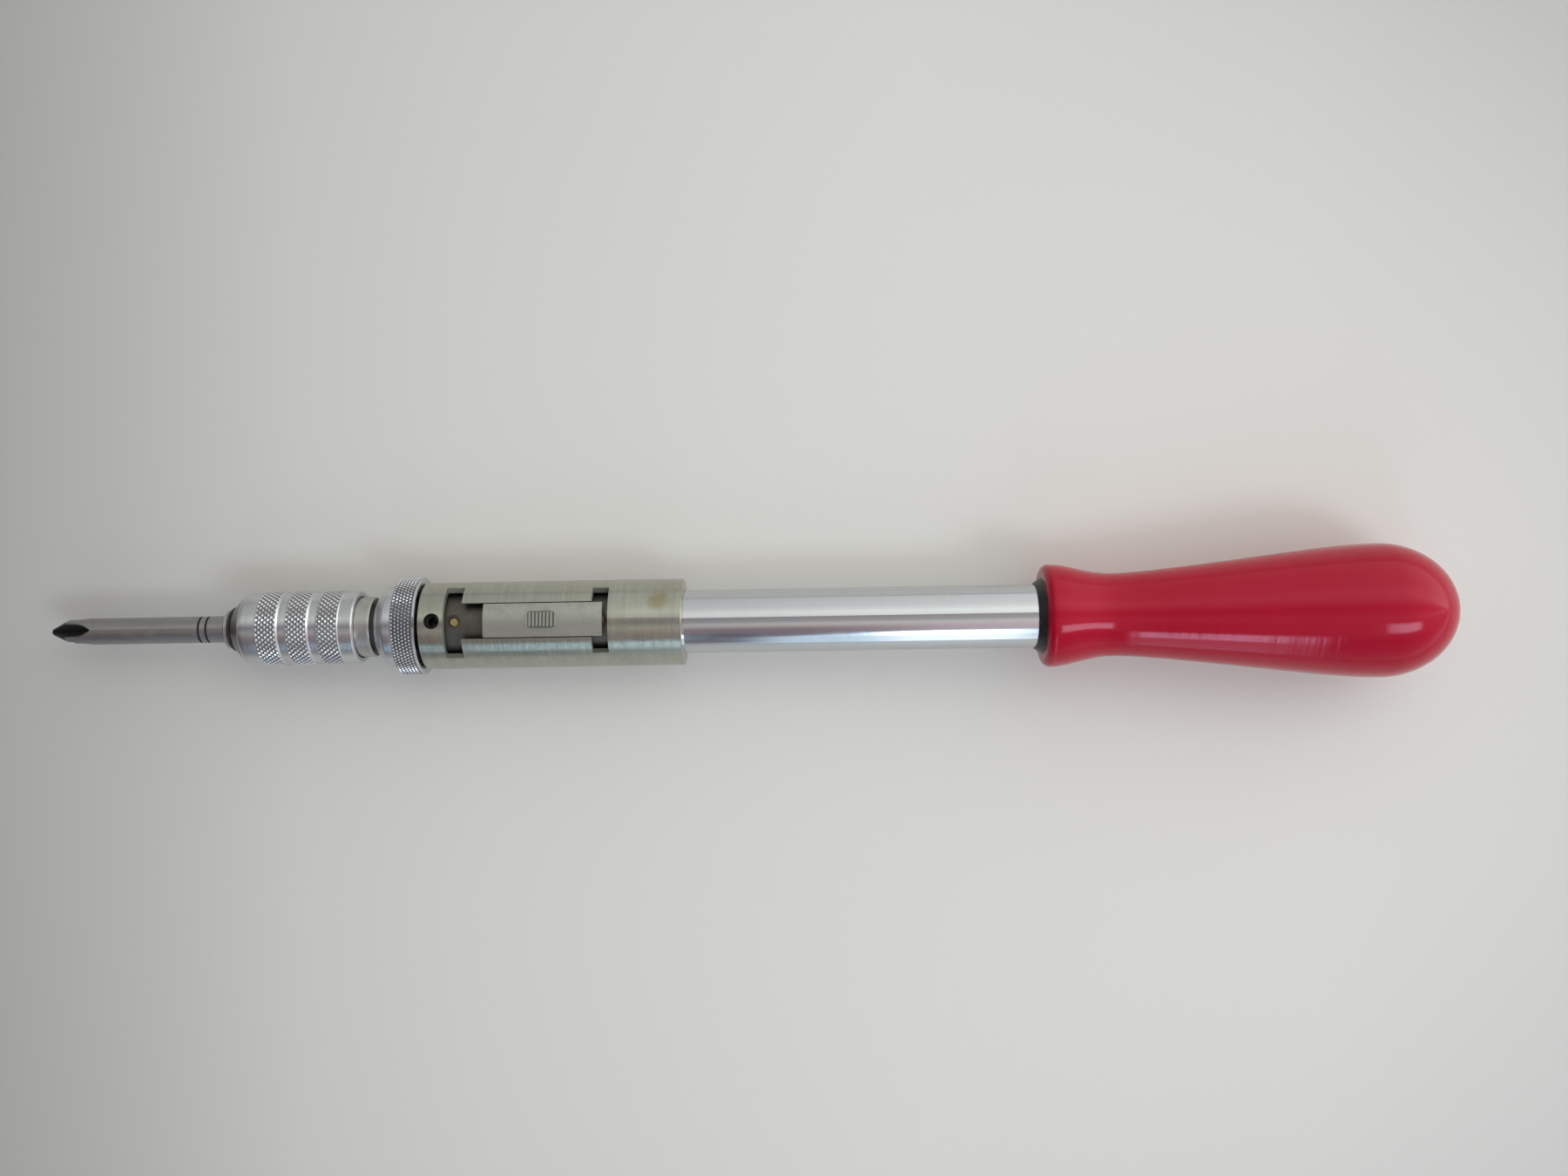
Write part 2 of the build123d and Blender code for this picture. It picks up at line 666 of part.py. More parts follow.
# Pawl sleeve: tube round the nuts, with the two pawl holes and the recess of the leaf spring
leaf_x = (flange_front + flange_front + shifter_flange_length) / 2
with BuildPart() as pawl_sleeve:
    with BuildSketch(Plane.XZ):
        ring_section(front_bush_rear + fit_gap, pawl_sleeve_rear, pawl_sleeve_bore, pawl_sleeve_radius)
    revolve(axis=Axis.X)
    with BuildSketch(Plane.XY):
        with Locations((front_pawl_x, 0), (rear_pawl_x, 0)):
            Circle(pawl_radius + fit_gap)
    extrude(amount=pawl_sleeve_radius + overrun, mode=Mode.SUBTRACT)
    with BuildSketch(Plane.XY.offset(pawl_sleeve_radius - pawl_hole_rim_depth)):
        with Locations((front_pawl_x, 0), (rear_pawl_x, 0)):
            Circle(pawl_radius + pawl_hole_rim)
    extrude(amount=pawl_sleeve_radius, mode=Mode.SUBTRACT)
    with BuildSketch(Plane.XY.offset(pawl_sleeve_radius - leaf_recess_depth)):
        with Locations((leaf_x, 0)):
            Rectangle(leaf_length + 2 * face_gap, leaf_width + 2 * face_gap)
    extrude(amount=pawl_sleeve_radius, mode=Mode.SUBTRACT)
save(pawl_sleeve.part, "pawl_sleeve")


def toothed_blank(front):
    """Ring of a nut: bore for the spindle and ratchet notches round the outside."""
    with BuildPart() as blank:
        with BuildSketch(Plane.YZ.offset(front)):
            Circle(nut_radius)
            Circle(spindle_radius + fit_gap, mode=Mode.SUBTRACT)
            root = nut_radius - nut_tooth_depth
            with PolarLocations(0, nut_tooth_count, start_angle=90):
                Polygon(
                    (root, -nut_notch_root / 2), (nut_radius + nut_tooth_depth, -nut_notch_top / 2),
                    (nut_radius + nut_tooth_depth, nut_notch_top / 2), (root, nut_notch_root / 2),
                    mode=Mode.SUBTRACT,
                )
        extrude(amount=nut_length)
    return blank.part


def nut_thread(hand, front, depth):
    """The two spiral ridges of a nut, which ride in the spindle's grooves of one hand."""
    side_gap = 2 * face_gap
    return [
        spiral_bar(hand, groove_angle(hand, front, start), front, nut_length,
                   spindle_radius - depth + face_gap, spindle_radius + depth / 2,
                   groove_root_width - side_gap, groove_top_width - side_gap)
        for start in range(groove_starts)
    ]


# Nut of the right-hand grooves, held by the front pawl
with BuildPart() as right_nut:
    add(toothed_blank(front_pawl_x - nut_length / 2))
    add(nut_thread(1, front_pawl_x - nut_length / 2, right_groove_depth))
save(right_nut.part, "right_nut")

# Nut of the left-hand grooves
with BuildPart() as left_nut:
    add(toothed_blank(rear_pawl_x - nut_length / 2))
    add(nut_thread(-1, rear_pawl_x - nut_length / 2, left_groove_depth))
save(left_nut.part, "left_nut")

# Tube that keeps the nuts apart
with BuildPart() as nut_spacer:
    with BuildSketch(Plane.XZ):
        ring_section(front_pawl_x + nut_length / 2 + face_gap, rear_pawl_x - nut_length / 2 - face_gap,
                     nut_radius - nut_tooth_depth, pawl_sleeve_bore - fit_gap)
    revolve(axis=Axis.X)
save(nut_spacer.part, "nut_spacer")

# Washers at the outer ends of the nuts
with BuildPart() as thrust_washers:
    with BuildSketch(Plane.XZ):
        for washer_x in (washer_front, washer_rear):
            ring_section(washer_x, washer_x + washer_thickness,
                         spindle_radius + face_gap, pawl_sleeve_bore - fit_gap)
    revolve(axis=Axis.X)
save(thrust_washers.part, "thrust_washers")


def pawl(place, lift):
    """Round pawl with a domed top and a wedge tip that enters a notch of its nut."""
    with BuildPart() as pin:
        with BuildSketch(Plane.XY.offset(pawl_tip_height + lift)):
            with Locations((place, 0)):
                Circle(pawl_radius)
        extrude(amount=pawl_top_height - pawl_tip_height)
        chamfer(pin.edges().filter_by(GeomType.CIRCLE).sort_by(Axis.Z)[-1], pawl_dome_height)
        with BuildSketch(Plane.XY.offset(pawl_tip_height + lift)):
            for side in (-1, 1):
                with Locations((place, side * (pawl_tip_width / 2 + pawl_radius))):
                    Rectangle(2 * pawl_radius + overrun, 2 * pawl_radius)
        extrude(amount=pawl_tip_length, mode=Mode.SUBTRACT)
    return pin.part


# Front pawl, down in a notch of its nut, and rear pawl, lifted clear
with BuildPart() as front_pawl:
    add(pawl(front_pawl_x, 0))
save(front_pawl.part, "front_pawl")

with BuildPart() as rear_pawl:
    add(pawl(rear_pawl_x, pawl_lift))
save(rear_pawl.part, "rear_pawl")

# Shifter: plate in the slot, wider flange under the casing, ribbed pad
with BuildPart() as shift_plate:
    with BuildSketch(Plane.YZ.offset(shifter_front)):
        Circle(shifter_top)
        Circle(flange_top, mode=Mode.SUBTRACT)
        with Locations((0, shifter_top)):
            Rectangle(shifter_width, shifter_top, mode=Mode.INTERSECT)
    extrude(amount=shifter_length)
    with BuildSketch(Plane.YZ.offset(flange_front)):
        Circle(flange_top)
        Circle(shifter_under, mode=Mode.SUBTRACT)
        wedge(shifter_flange_angle, 2 * casing_radius, Mode.INTERSECT)
    extrude(amount=shifter_flange_length)
    pad_x = shifter_front + pad_setback + pad_length / 2
    pad_top = shifter_top + pad_height
    with BuildSketch(Plane.XY.offset(flange_top)):
        with Locations((pad_x, 0)):
            SlotOverall(pad_length, pad_width)
    extrude(amount=pad_top - flange_top)
    with BuildSketch(Plane.XZ):
        rib_pitch = (pad_length - pad_width / 2) / pad_rib_count
        with Locations((pad_x, pad_top)):
            with GridLocations(rib_pitch, 0, pad_rib_count, 1):
                Rectangle(pad_rib_width, 2 * pad_rib_height)
    extrude(amount=pad_rib_length_share * pad_width / 2, both=True)
save(shift_plate.part, "shift_plate")

# Leaf spring under the shifter
with BuildPart() as shifter_spring:
    with BuildSketch(Plane.XY.offset(pawl_sleeve_radius - leaf_recess_depth + fit_gap)):
        with Locations((leaf_x, 0)):
            Rectangle(leaf_length, leaf_width)
    extrude(amount=leaf_thickness)
save(shifter_spring.part, "shifter_spring")

# Rear bush: nose in the pawl sleeve, body in the casing, bored for the spindle and the tube
with BuildPart() as rear_bush:
    with BuildSketch(Plane.XZ):
        ring_section(rear_bush_front, pawl_sleeve_rear + face_gap,
                     spindle_radius + free_gap, pawl_sleeve_bore - press_gap)
        ring_section(pawl_sleeve_rear + face_gap, casing_rear,
                     spindle_radius + free_gap, casing_bore - press_gap)
    revolve(axis=Axis.X)
    with BuildSketch(Plane.YZ.offset(tube_front - face_gap)):
        Circle(tube_radius + press_gap)
    extrude(amount=casing_rear - tube_front + overrun, mode=Mode.SUBTRACT)
save(rear_bush.part, "rear_bush")

# Body tube, from the rear bush into the handle
with BuildPart() as body_tube:
    with BuildSketch(Plane.XZ):
        ring_section(tube_front, tube_rear, tube_bore, tube_radius)
    revolve(axis=Axis.X)
save(body_tube.part, "body_tube")

# Stop collar on the spindle, with its pin
with BuildPart() as stop_collar:
    with BuildSketch(Plane.XZ):
        ring_section(stop_front, stop_rear, spindle_radius + press_gap, stop_radius)
    revolve(axis=Axis.X)
    with BuildSketch(Plane.XY):
        with Locations(((stop_front + stop_rear) / 2, 0)):
            Circle(stop_pin_radius + press_gap)
    extrude(amount=stop_radius + overrun, both=True, mode=Mode.SUBTRACT)
save(stop_collar.part, "stop_collar")

with BuildPart() as stop_pin:
    with BuildSketch(Plane.XY):
        with Locations(((stop_front + stop_rear) / 2, 0)):
            Circle(stop_pin_radius)
    extrude(amount=stop_radius - face_gap, both=True)
save(stop_pin.part, "stop_pin")

# Cup between the spindle and the mainspring
with BuildPart() as spring_follower:
    with BuildSketch(Plane.XZ):
        ring_section(follower_front, follower_rear, 0, follower_radius)
        ring_section(follower_rear, follower_rear + follower_spigot_length, 0,
                     spring_radius - spring_wire_radius - free_gap)
    revolve(axis=Axis.X)
save(spring_follower.part, "spring_follower")

# Mainspring, pressed together
with BuildPart() as mainspring:
    with BuildLine() as mainspring_line:
        spring_path(spring_radius, spring_front, spring_pitch, spring_turns, 2)
    mainspring_start = Plane(origin=mainspring_line.line @ 0, z_dir=mainspring_line.line % 0)
    with BuildSketch(mainspring_start):
        RegularPolygon(spring_wire_radius, wire_sides)
    sweep(path=mainspring_line.line)
save(mainspring.part, "mainspring")

# Plug that the mainspring rests on
with BuildPart() as spring_seat:
    with BuildSketch(Plane.XZ):
        ring_section(seat_front, seat_rear, 0, tube_bore - press_gap)
    revolve(axis=Axis.X)
save(spring_seat.part, "spring_seat")

# Black tapered collar in front of the handle
with BuildPart() as handle_collar:
    with BuildSketch(Plane.XZ):
        Polygon(
            (collar_front, tube_radius + press_gap), (collar_front, tube_radius + collar_front_wall),
            (handle_front, tube_radius + collar_rear_wall), (handle_front, tube_radius + press_gap),
        )
    revolve(axis=Axis.X)
save(handle_collar.part, "handle_collar")


def handle_place(share):
    """Point of the handle's outline from its two shares."""
    return (handle_front + share[0] * handle_length, share[1] * handle_radius)


# Turned wooden handle: bead at the front, waist, long swell, rounded end
with BuildPart() as handle:
    with BuildSketch(Plane.XZ):
        with BuildLine():
            bead_radius = handle_bead_share * handle_radius
            rim_start = (handle_front, bead_radius - handle_rim_round)
            rim = RadiusArc(rim_start, (handle_front + handle_rim_round, bead_radius), -handle_rim_round)
            shoulder_points = [handle_place(share) for share in handle_shoulder_shares]
            bead = Spline(rim @ 1, *shoulder_points, handle_place(handle_neck_share),
                          tangents=[(1, 0), (1, 0)])
            end_length = handle_end_share * handle_length
            end_centre = (handle_rear - end_length, 0)
            swell_points = [handle_place(share) for share in handle_swell_shares]
            Spline(bead @ 1, *swell_points, (handle_rear - end_length, handle_radius),
                   tangents=[(1, 0), (1, 0)])
            EllipticalCenterArc(end_centre, end_length, handle_radius, start_angle=0, arc_size=90)
            Polyline(
                (handle_rear, 0), (tube_rear + face_gap, 0),
                (tube_rear + face_gap, tube_radius + press_gap),
                (handle_front, tube_radius + press_gap), rim_start,
            )
        make_face()
    revolve(axis=Axis.X)
save(handle.part, "handle")
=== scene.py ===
"""Looks of a push-type spiral ratchet screwdriver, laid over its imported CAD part.

Lengths are metres in the part's own frame: X runs from the tip of the bit to the handle, and +Z
is the side of the ratchet shifter.
"""

import logging
import math
from dataclasses import dataclass
from enum import Enum
from typing import Optional, Union

import bpy
import numpy as np
from mathutils import Matrix, Vector


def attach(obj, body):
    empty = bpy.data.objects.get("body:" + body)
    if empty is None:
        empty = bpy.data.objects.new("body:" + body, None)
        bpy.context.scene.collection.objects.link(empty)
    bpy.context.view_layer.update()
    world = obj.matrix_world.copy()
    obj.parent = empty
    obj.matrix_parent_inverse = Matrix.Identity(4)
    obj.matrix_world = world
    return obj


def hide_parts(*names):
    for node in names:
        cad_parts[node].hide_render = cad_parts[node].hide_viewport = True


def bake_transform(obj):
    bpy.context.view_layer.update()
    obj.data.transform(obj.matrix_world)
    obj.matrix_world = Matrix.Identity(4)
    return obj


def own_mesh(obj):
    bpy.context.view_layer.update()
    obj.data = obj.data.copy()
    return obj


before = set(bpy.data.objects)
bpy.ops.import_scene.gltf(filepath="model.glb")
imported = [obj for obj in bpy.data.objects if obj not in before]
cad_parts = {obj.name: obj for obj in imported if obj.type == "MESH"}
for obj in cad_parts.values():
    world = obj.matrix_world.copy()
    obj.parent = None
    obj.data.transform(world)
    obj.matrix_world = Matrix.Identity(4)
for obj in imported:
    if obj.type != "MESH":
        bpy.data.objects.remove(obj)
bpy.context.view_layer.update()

LOG = logging.getLogger("scene")
MM = 0.001

Colour = tuple[float, float, float]
Value = Union[float, bpy.types.NodeSocket]


class Marks(Enum):
    """Way that the fine marks of the last tool run over a metal surface."""

    TURNED = (9000.0, 260.0)
    DRAWN = (60.0, 5200.0)
    PLAIN = (1500.0, 1500.0)


def opaque(colour):
    """Give a plain colour its alpha.

    Args:
        colour: Three numbers, or a socket, which is left as it is.

    Returns:
        Four numbers, or the socket.
    """
    return colour if isinstance(colour, bpy.types.NodeSocket) else (*colour, 1.0)


class Tree:
    """Adds and links the nodes of one node tree."""

    def __init__(self, tree: bpy.types.NodeTree) -> None:
        """Start from an empty tree.

        Args:
            tree: The node tree to fill.
        """
        self.tree = tree
        tree.nodes.clear()

    def feed(self, node: bpy.types.Node, inputs: dict) -> bpy.types.Node:
        """Set or link the inputs of a node.

        Args:
            node: The node.
            inputs: Input name or number, and the value or the output socket that feeds it.

        Returns:
            The same node.
        """
        for name, value in inputs.items():
            if isinstance(value, bpy.types.NodeSocket):
                self.tree.links.new(value, node.inputs[name])
            else:
                node.inputs[name].default_value = value
        return node

    def add(self, kind: str, inputs: Optional[dict] = None, **settings) -> bpy.types.Node:
        """Add one node.

        Args:
            kind: Blender's name for the node's type, without "ShaderNode".
            inputs: Input name or number, and the value or the output socket that feeds it.
            settings: Fields of the node.

        Returns:
            The new node.
        """
        node = self.tree.nodes.new(kind if kind.startswith("NodeGroup") else f"ShaderNode{kind}")
        for name, value in settings.items():
            setattr(node, name, value)
        return self.feed(node, inputs or {})

    def maths(self, operation: str, first: Value, second: Value = 0.0, third: Value = 0.0,
              clamp: bool = False) -> bpy.types.NodeSocket:
        """Combine values.

        Args:
            operation: The Math node's operation.
            first: First value.
            second: Second value.
            third: Third value.
            clamp: Whether the result stays between 0 and 1.

        Returns:
            The result.
        """
        inputs = {0: first, 1: second, 2: third}
        return self.add("Math", inputs, operation=operation, use_clamp=clamp).outputs[0]

    def mix(self, factor: Value, first, second, blend: str = "MIX") -> bpy.types.NodeSocket:
        """Mix two colours.

        Args:
            factor: Share of the second colour.
            first: First colour or socket.
            second: Second colour or socket.
            blend: Blend mode.

        Returns:
            The mixed colour.
        """
        inputs = {0: factor, 6: opaque(first), 7: opaque(second)}
        return self.add("Mix", inputs, data_type="RGBA", blend_type=blend).outputs[2]

    def blend(self, factor: Value, first: Value, second: Value) -> bpy.types.NodeSocket:
        """Mix two values.

        Args:
            factor: Share of the second value.
            first: First value.
            second: Second value.

        Returns:
            The mixed value.
        """
        return self.add("Mix", {0: factor, 2: first, 3: second}, data_type="FLOAT").outputs[0]

    def spread(self, value: Value, low: Value, high: Value, to_low: float = 0.0,
               to_high: float = 1.0) -> bpy.types.NodeSocket:
        """Map a range of values smoothly onto another range.

        Args:
            value: Value to map.
            low: Start of its range.
            high: End of its range.
            to_low: Result at the start.
            to_high: Result at the end.

        Returns:
            The mapped value.
        """
        inputs = {"Value": value, "From Min": low, "From Max": high, "To Min": to_low, "To Max": to_high}
        return self.add("MapRange", inputs, interpolation_type="SMOOTHSTEP").outputs["Result"]

    def ramp(self, factor: Value, stops: list[tuple[float, Colour]],
             interpolation: str = "LINEAR") -> bpy.types.NodeSocket:
        """Look a value up in a row of colours.

        Args:
            factor: Value from 0 to 1.
            stops: Places and their colours, in order.
            interpolation: Way between two stops.

        Returns:
            The colour.
        """
        node = self.add("ValToRGB", {0: factor})
        node.color_ramp.interpolation = interpolation
        elements = node.color_ramp.elements
        while len(elements) < len(stops):
            elements.new(0.5)
        for element, (place, colour) in zip(elements, stops):
            element.position = place
            element.color = opaque(colour)
        return node.outputs[0]

    def group(self, name: str, inputs: dict) -> dict[str, bpy.types.NodeSocket]:
        """Use one of the shared node groups.

        Args:
            name: Name of the group.
            inputs: Its input values or sockets.

        Returns:
            The group's outputs by name.
        """
        node = self.add("Group", node_tree=SharedGroups.get(name))
        self.feed(node, inputs)
        return {socket.name: socket for socket in node.outputs}

    def give(self, result: bpy.types.Node, outputs: dict) -> bpy.types.NodeTree:
        """Link a group's results to its output node.

        Args:
            result: The group's output node.
            outputs: Output names and the sockets that feed them.

        Returns:
            The group's node tree.
        """
        for name, socket in outputs.items():
            self.tree.links.new(socket, result.inputs[name])
        return self.tree


class SharedGroups:
    """Node groups that several finishes share."""

    made: dict[str, bpy.types.NodeTree] = {}

    @classmethod
    def get(cls, name: str) -> bpy.types.NodeTree:
        """Fetch a group, and build it at its first use.

        Args:
            name: Name of one of the methods below.

        Returns:
            The group's node tree.
        """
        if name not in cls.made:
            cls.made[name] = getattr(cls, name)()
        return cls.made[name]

    @staticmethod
    def start(name: str, inputs: dict[str, str], outputs: dict[str, str]) -> tuple:
        """Make an empty group with its sockets.

        Args:
            name: Name of the group.
            inputs: Input names and their kinds.
            outputs: Output names and their kinds.

        Returns:
            The tree, its input sockets by name and its output node.
        """
        group = bpy.data.node_groups.new(name, "ShaderNodeTree")
        for way, sockets in (("INPUT", inputs), ("OUTPUT", outputs)):
            for label, kind in sockets.items():
                group.interface.new_socket(label, in_out=way, socket_type=f"NodeSocket{kind}")
        tree = Tree(group)
        source = tree.add("NodeGroupInput")
        return tree, {s.name: s for s in source.outputs if s.name}, tree.add("NodeGroupOutput")

    @classmethod
    def polar(cls) -> bpy.types.NodeTree:
        """Split a place into its distance along the axis, its distance from it and its angle round it.

        Returns:
            The group's node tree.
        """
        tree, given, result = cls.start(
            "polar", {"Vector": "Vector"}, {"Along": "Float", "Radius": "Float", "Angle": "Float"})
        parts = tree.add("SeparateXYZ", {0: given["Vector"]}).outputs
        height = tree.maths("MULTIPLY", parts["Z"], parts["Z"])
        squares = tree.maths("MULTIPLY_ADD", parts["Y"], parts["Y"], height)
        return tree.give(result, {
            "Along": parts["X"],
            "Radius": tree.maths("SQRT", squares),
            "Angle": tree.maths("ARCTAN2", parts["Y"], parts["Z"]),
        })

    @classmethod
    def machining(cls) -> bpy.types.NodeTree:
        """Fine marks: noise that is squeezed along one way and stretched along the other.

        Returns:
            The group's node tree.
        """
        tree, given, result = cls.start(
            "machining", {"Vector": "Vector", "Along": "Float", "Across": "Float"},
            {"Fine": "Float", "Coarse": "Float"})
        parts = tree.add("SeparateXYZ", {0: given["Vector"]}).outputs
        place = tree.add("CombineXYZ", {
            0: tree.maths("MULTIPLY", parts["X"], given["Along"]),
            1: tree.maths("MULTIPLY", parts["Y"], given["Across"]),
            2: tree.maths("MULTIPLY", parts["Z"], given["Across"]),
        }).outputs[0]
        fine = tree.add("TexNoise", {"Vector": place, "Scale": 1.0, "Detail": 3.0, "Roughness": 0.7})
        coarse = tree.add("TexNoise", {"Vector": place, "Scale": 0.16, "Detail": 3.0, "Roughness": 0.6})
        return tree.give(result, {"Fine": fine.outputs[0], "Coarse": coarse.outputs[0]})

    @classmethod
    def grime(cls) -> bpy.types.NodeTree:
        """Uneven film of dirt or tarnish.

        Returns:
            The group's node tree.
        """
        tree, given, result = cls.start(
            "grime", {"Vector": "Vector", "Scale": "Float", "Low": "Float", "High": "Float"},
            {"Mask": "Float"})
        cloud = tree.add("TexNoise", {"Vector": given["Vector"], "Scale": given["Scale"],
                                      "Detail": 6.0, "Roughness": 0.62}).outputs[0]
        return tree.give(result, {"Mask": tree.spread(cloud, given["Low"], given["High"])})

    @classmethod
    def zone(cls) -> bpy.types.NodeTree:
        """Soft-edged mask of a range of values.

        Returns:
            The group's node tree.
        """
        tree, given, result = cls.start(
            "zone", {"Value": "Float", "Low": "Float", "High": "Float", "Soft": "Float"},
            {"Mask": "Float"})
        rise = tree.maths("DIVIDE", tree.maths("SUBTRACT", given["Value"], given["Low"]), given["Soft"])
        fall = tree.maths("DIVIDE", tree.maths("SUBTRACT", given["High"], given["Value"]), given["Soft"])
        inside = tree.maths("MULTIPLY", tree.maths("ADD", rise, 0.5, clamp=True),
                            tree.maths("ADD", fall, 0.5, clamp=True))
        return tree.give(result, {"Mask": inside})


@dataclass(frozen=True)
class PaintedShade:
    """Painted shade: part of a turned surface made darker and duller where it lies in shade or mirrors a dark
    place, by its place along the axis and from it.
    """

    front: float
    rear: float
    inner: float
    outer: float
    colour: Colour
    roughness: float
    metallic: float = 1.0
    strength: float = 1.0
    soft: float = 0.15

    def mask(self, tree: Tree, polar: dict) -> bpy.types.NodeSocket:
        """Make the mask of the zone.

        Args:
            tree: Tree of the material.
            polar: Outputs of the polar group.

        Returns:
            The mask, scaled by the zone's strength.
        """
        along = tree.group("zone", {"Value": polar["Along"], "Low": self.front * MM,
                                    "High": self.rear * MM, "Soft": self.soft * MM})["Mask"]
        away = tree.group("zone", {"Value": polar["Radius"], "Low": self.inner * MM,
                                   "High": self.outer * MM, "Soft": self.soft * MM})["Mask"]
        return tree.maths("MULTIPLY", tree.maths("MULTIPLY", along, away), self.strength)


@dataclass(frozen=True)
class Stain:
    """Round stain with a cloudy edge."""

    place: tuple[float, float, float]
    radius: float
    colour: Colour
    strength: float = 0.6

    def mask(self, tree: Tree, place: bpy.types.NodeSocket) -> bpy.types.NodeSocket:
        """Make the mask of the stain.

        Args:
            tree: Tree of the material.
            place: Object coordinates.

        Returns:
            The mask, scaled by the stain's strength.
        """
        centre = tuple(value * MM for value in self.place)
        away = tree.add("VectorMath", {0: place, 1: centre}, operation="DISTANCE").outputs["Value"]
        cloud = tree.group("grime", {"Vector": place, "Scale": 500.0, "Low": 0.2, "High": 0.8})["Mask"]
        edge = tree.maths("MULTIPLY_ADD", cloud, 0.5 * self.radius * MM, away)
        return tree.spread(edge, 0.5 * self.radius * MM, 1.3 * self.radius * MM, self.strength, 0.0)


@dataclass(frozen=True)
class Metal:
    """Bare or plated metal with machining marks, a film of grime and painted shade where parts of it lie in
    shade.
    """

    name: str
    colour: Colour
    roughness: float
    marks: Marks = Marks.TURNED
    contrast: float = 0.25
    relief: float = 0.02
    grime: float = 0.2
    grime_colour: Colour = (0.16, 0.14, 0.11)
    grime_scale: float = 140.0
    painted_shades: tuple[PaintedShade, ...] = ()
    stains: tuple[Stain, ...] = ()

    def build(self) -> bpy.types.Material:
        """Build the material.

        Returns:
            The material.
        """
        material = bpy.data.materials.new(self.name)
        material.use_nodes = True
        tree = Tree(material.node_tree)
        place = tree.add("TexCoord").outputs["Object"]
        polar = tree.group("polar", {"Vector": place})
        along, across = self.marks.value
        marks = tree.group("machining", {"Vector": place, "Along": along, "Across": across})
        film = tree.group("grime", {"Vector": place, "Scale": self.grime_scale, "Low": 0.42, "High": 0.72})
        both = tree.maths("ADD", marks["Fine"], marks["Coarse"])
        shade = tree.maths("MULTIPLY_ADD", both, self.contrast, 1.0 - self.contrast)
        colour = tree.add("HueSaturation", {"Value": shade, "Color": opaque(self.colour)}).outputs[0]
        dirt = tree.maths("MULTIPLY", film["Mask"], self.grime)
        colour = tree.mix(dirt, colour, self.grime_colour)
        for stain in self.stains:
            colour = tree.mix(stain.mask(tree, place), colour, stain.colour)
        roughness = tree.maths("MULTIPLY_ADD", marks["Coarse"], 0.25 * self.roughness, 0.87 * self.roughness)
        roughness = tree.maths("MULTIPLY_ADD", dirt, 0.3, roughness)
        metallic = tree.maths("MULTIPLY_ADD", dirt, -0.5, 1.0)
        # Painted shade: each zone darkens the colour and changes roughness and metallic where the surface
        # lies in shade.
        for zone in self.painted_shades:
            mask = zone.mask(tree, polar)
            colour = tree.mix(mask, colour, zone.colour)
            roughness = tree.blend(mask, roughness, zone.roughness)
            metallic = tree.blend(mask, metallic, zone.metallic)
        bump = tree.add("Bump", {"Strength": 1.0, "Distance": self.relief * MM, "Height": marks["Fine"]})
        surface = tree.add("BsdfPrincipled", {"Base Color": colour, "Metallic": metallic,
                                              "Roughness": roughness, "Normal": bump.outputs[0]})
        tree.add("OutputMaterial", {"Surface": surface.outputs[0]})
        return material


@dataclass(frozen=True)
class Lacquer:
    """Turned wood under a thick, smooth coat of coloured lacquer."""

    name: str
    colour: Colour
    dark: Colour
    tint: Colour = (1.0, 0.6, 0.75)
    roughness: float = 0.09
    turning: float = 0.08
    fine_share: float = 0.22

    def build(self) -> bpy.types.Material:
        """Build the material.

        Returns:
            The material.
        """
        material = bpy.data.materials.new(self.name)
        material.use_nodes = True
        tree = Tree(material.node_tree)
        place = tree.add("TexCoord").outputs["Object"]
        rings = tree.group("machining", {"Vector": place, "Along": 900.0, "Across": 25.0})
        grain = tree.group("machining", {"Vector": place, "Along": 25.0, "Across": 700.0})
        cloud = tree.group("grime", {"Vector": place, "Scale": 45.0, "Low": 0.35, "High": 0.75})
        share = tree.maths("MULTIPLY_ADD", grain["Coarse"], 0.35, tree.maths("MULTIPLY", cloud["Mask"], 0.25))
        colour = tree.mix(share, self.colour, self.dark)
        height = tree.maths("MULTIPLY_ADD", grain["Coarse"], 0.35, rings["Coarse"])
        height = tree.maths("MULTIPLY_ADD", rings["Fine"], self.fine_share, height)
        bump = tree.add("Bump", {"Strength": 1.0, "Distance": self.turning * MM, "Height": height})
        surface = tree.add("BsdfPrincipled", {
            "Base Color": colour, "Roughness": self.roughness, "Specular IOR Level": 0.35,
            "Specular Tint": opaque(self.tint), "Normal": bump.outputs[0],
        })
        tree.add("OutputMaterial", {"Surface": surface.outputs[0]})
        return material


@dataclass(frozen=True)
class Black:
    """Black oxide or enamel, rubbed a little in patches."""

    name: str
    colour: Colour = (0.012, 0.012, 0.013)
    worn: Colour = (0.09, 0.09, 0.09)
    roughness: float = 0.3

    def build(self) -> bpy.types.Material:
        """Build the material.

        Returns:
            The material.
        """
        material = bpy.data.materials.new(self.name)
        material.use_nodes = True
        tree = Tree(material.node_tree)
        place = tree.add("TexCoord").outputs["Object"]
        film = tree.group("grime", {"Vector": place, "Scale": 600.0, "Low": 0.5, "High": 0.8})
        marks = tree.group("machining", {"Vector": place, "Along": 6000.0, "Across": 300.0})
        colour = tree.mix(tree.maths("MULTIPLY", film["Mask"], 0.5), self.colour, self.worn)
        bump = tree.add("Bump", {"Strength": 1.0, "Distance": 0.02 * MM, "Height": marks["Fine"]})
        roughness = tree.maths("MULTIPLY_ADD", film["Mask"], 0.25, self.roughness)
        surface = tree.add("BsdfPrincipled", {"Base Color": colour, "Roughness": roughness,
                                              "Normal": bump.outputs[0]})
        tree.add("OutputMaterial", {"Surface": surface.outputs[0]})
        return material


Finish = Union[Metal, Lacquer, Black]

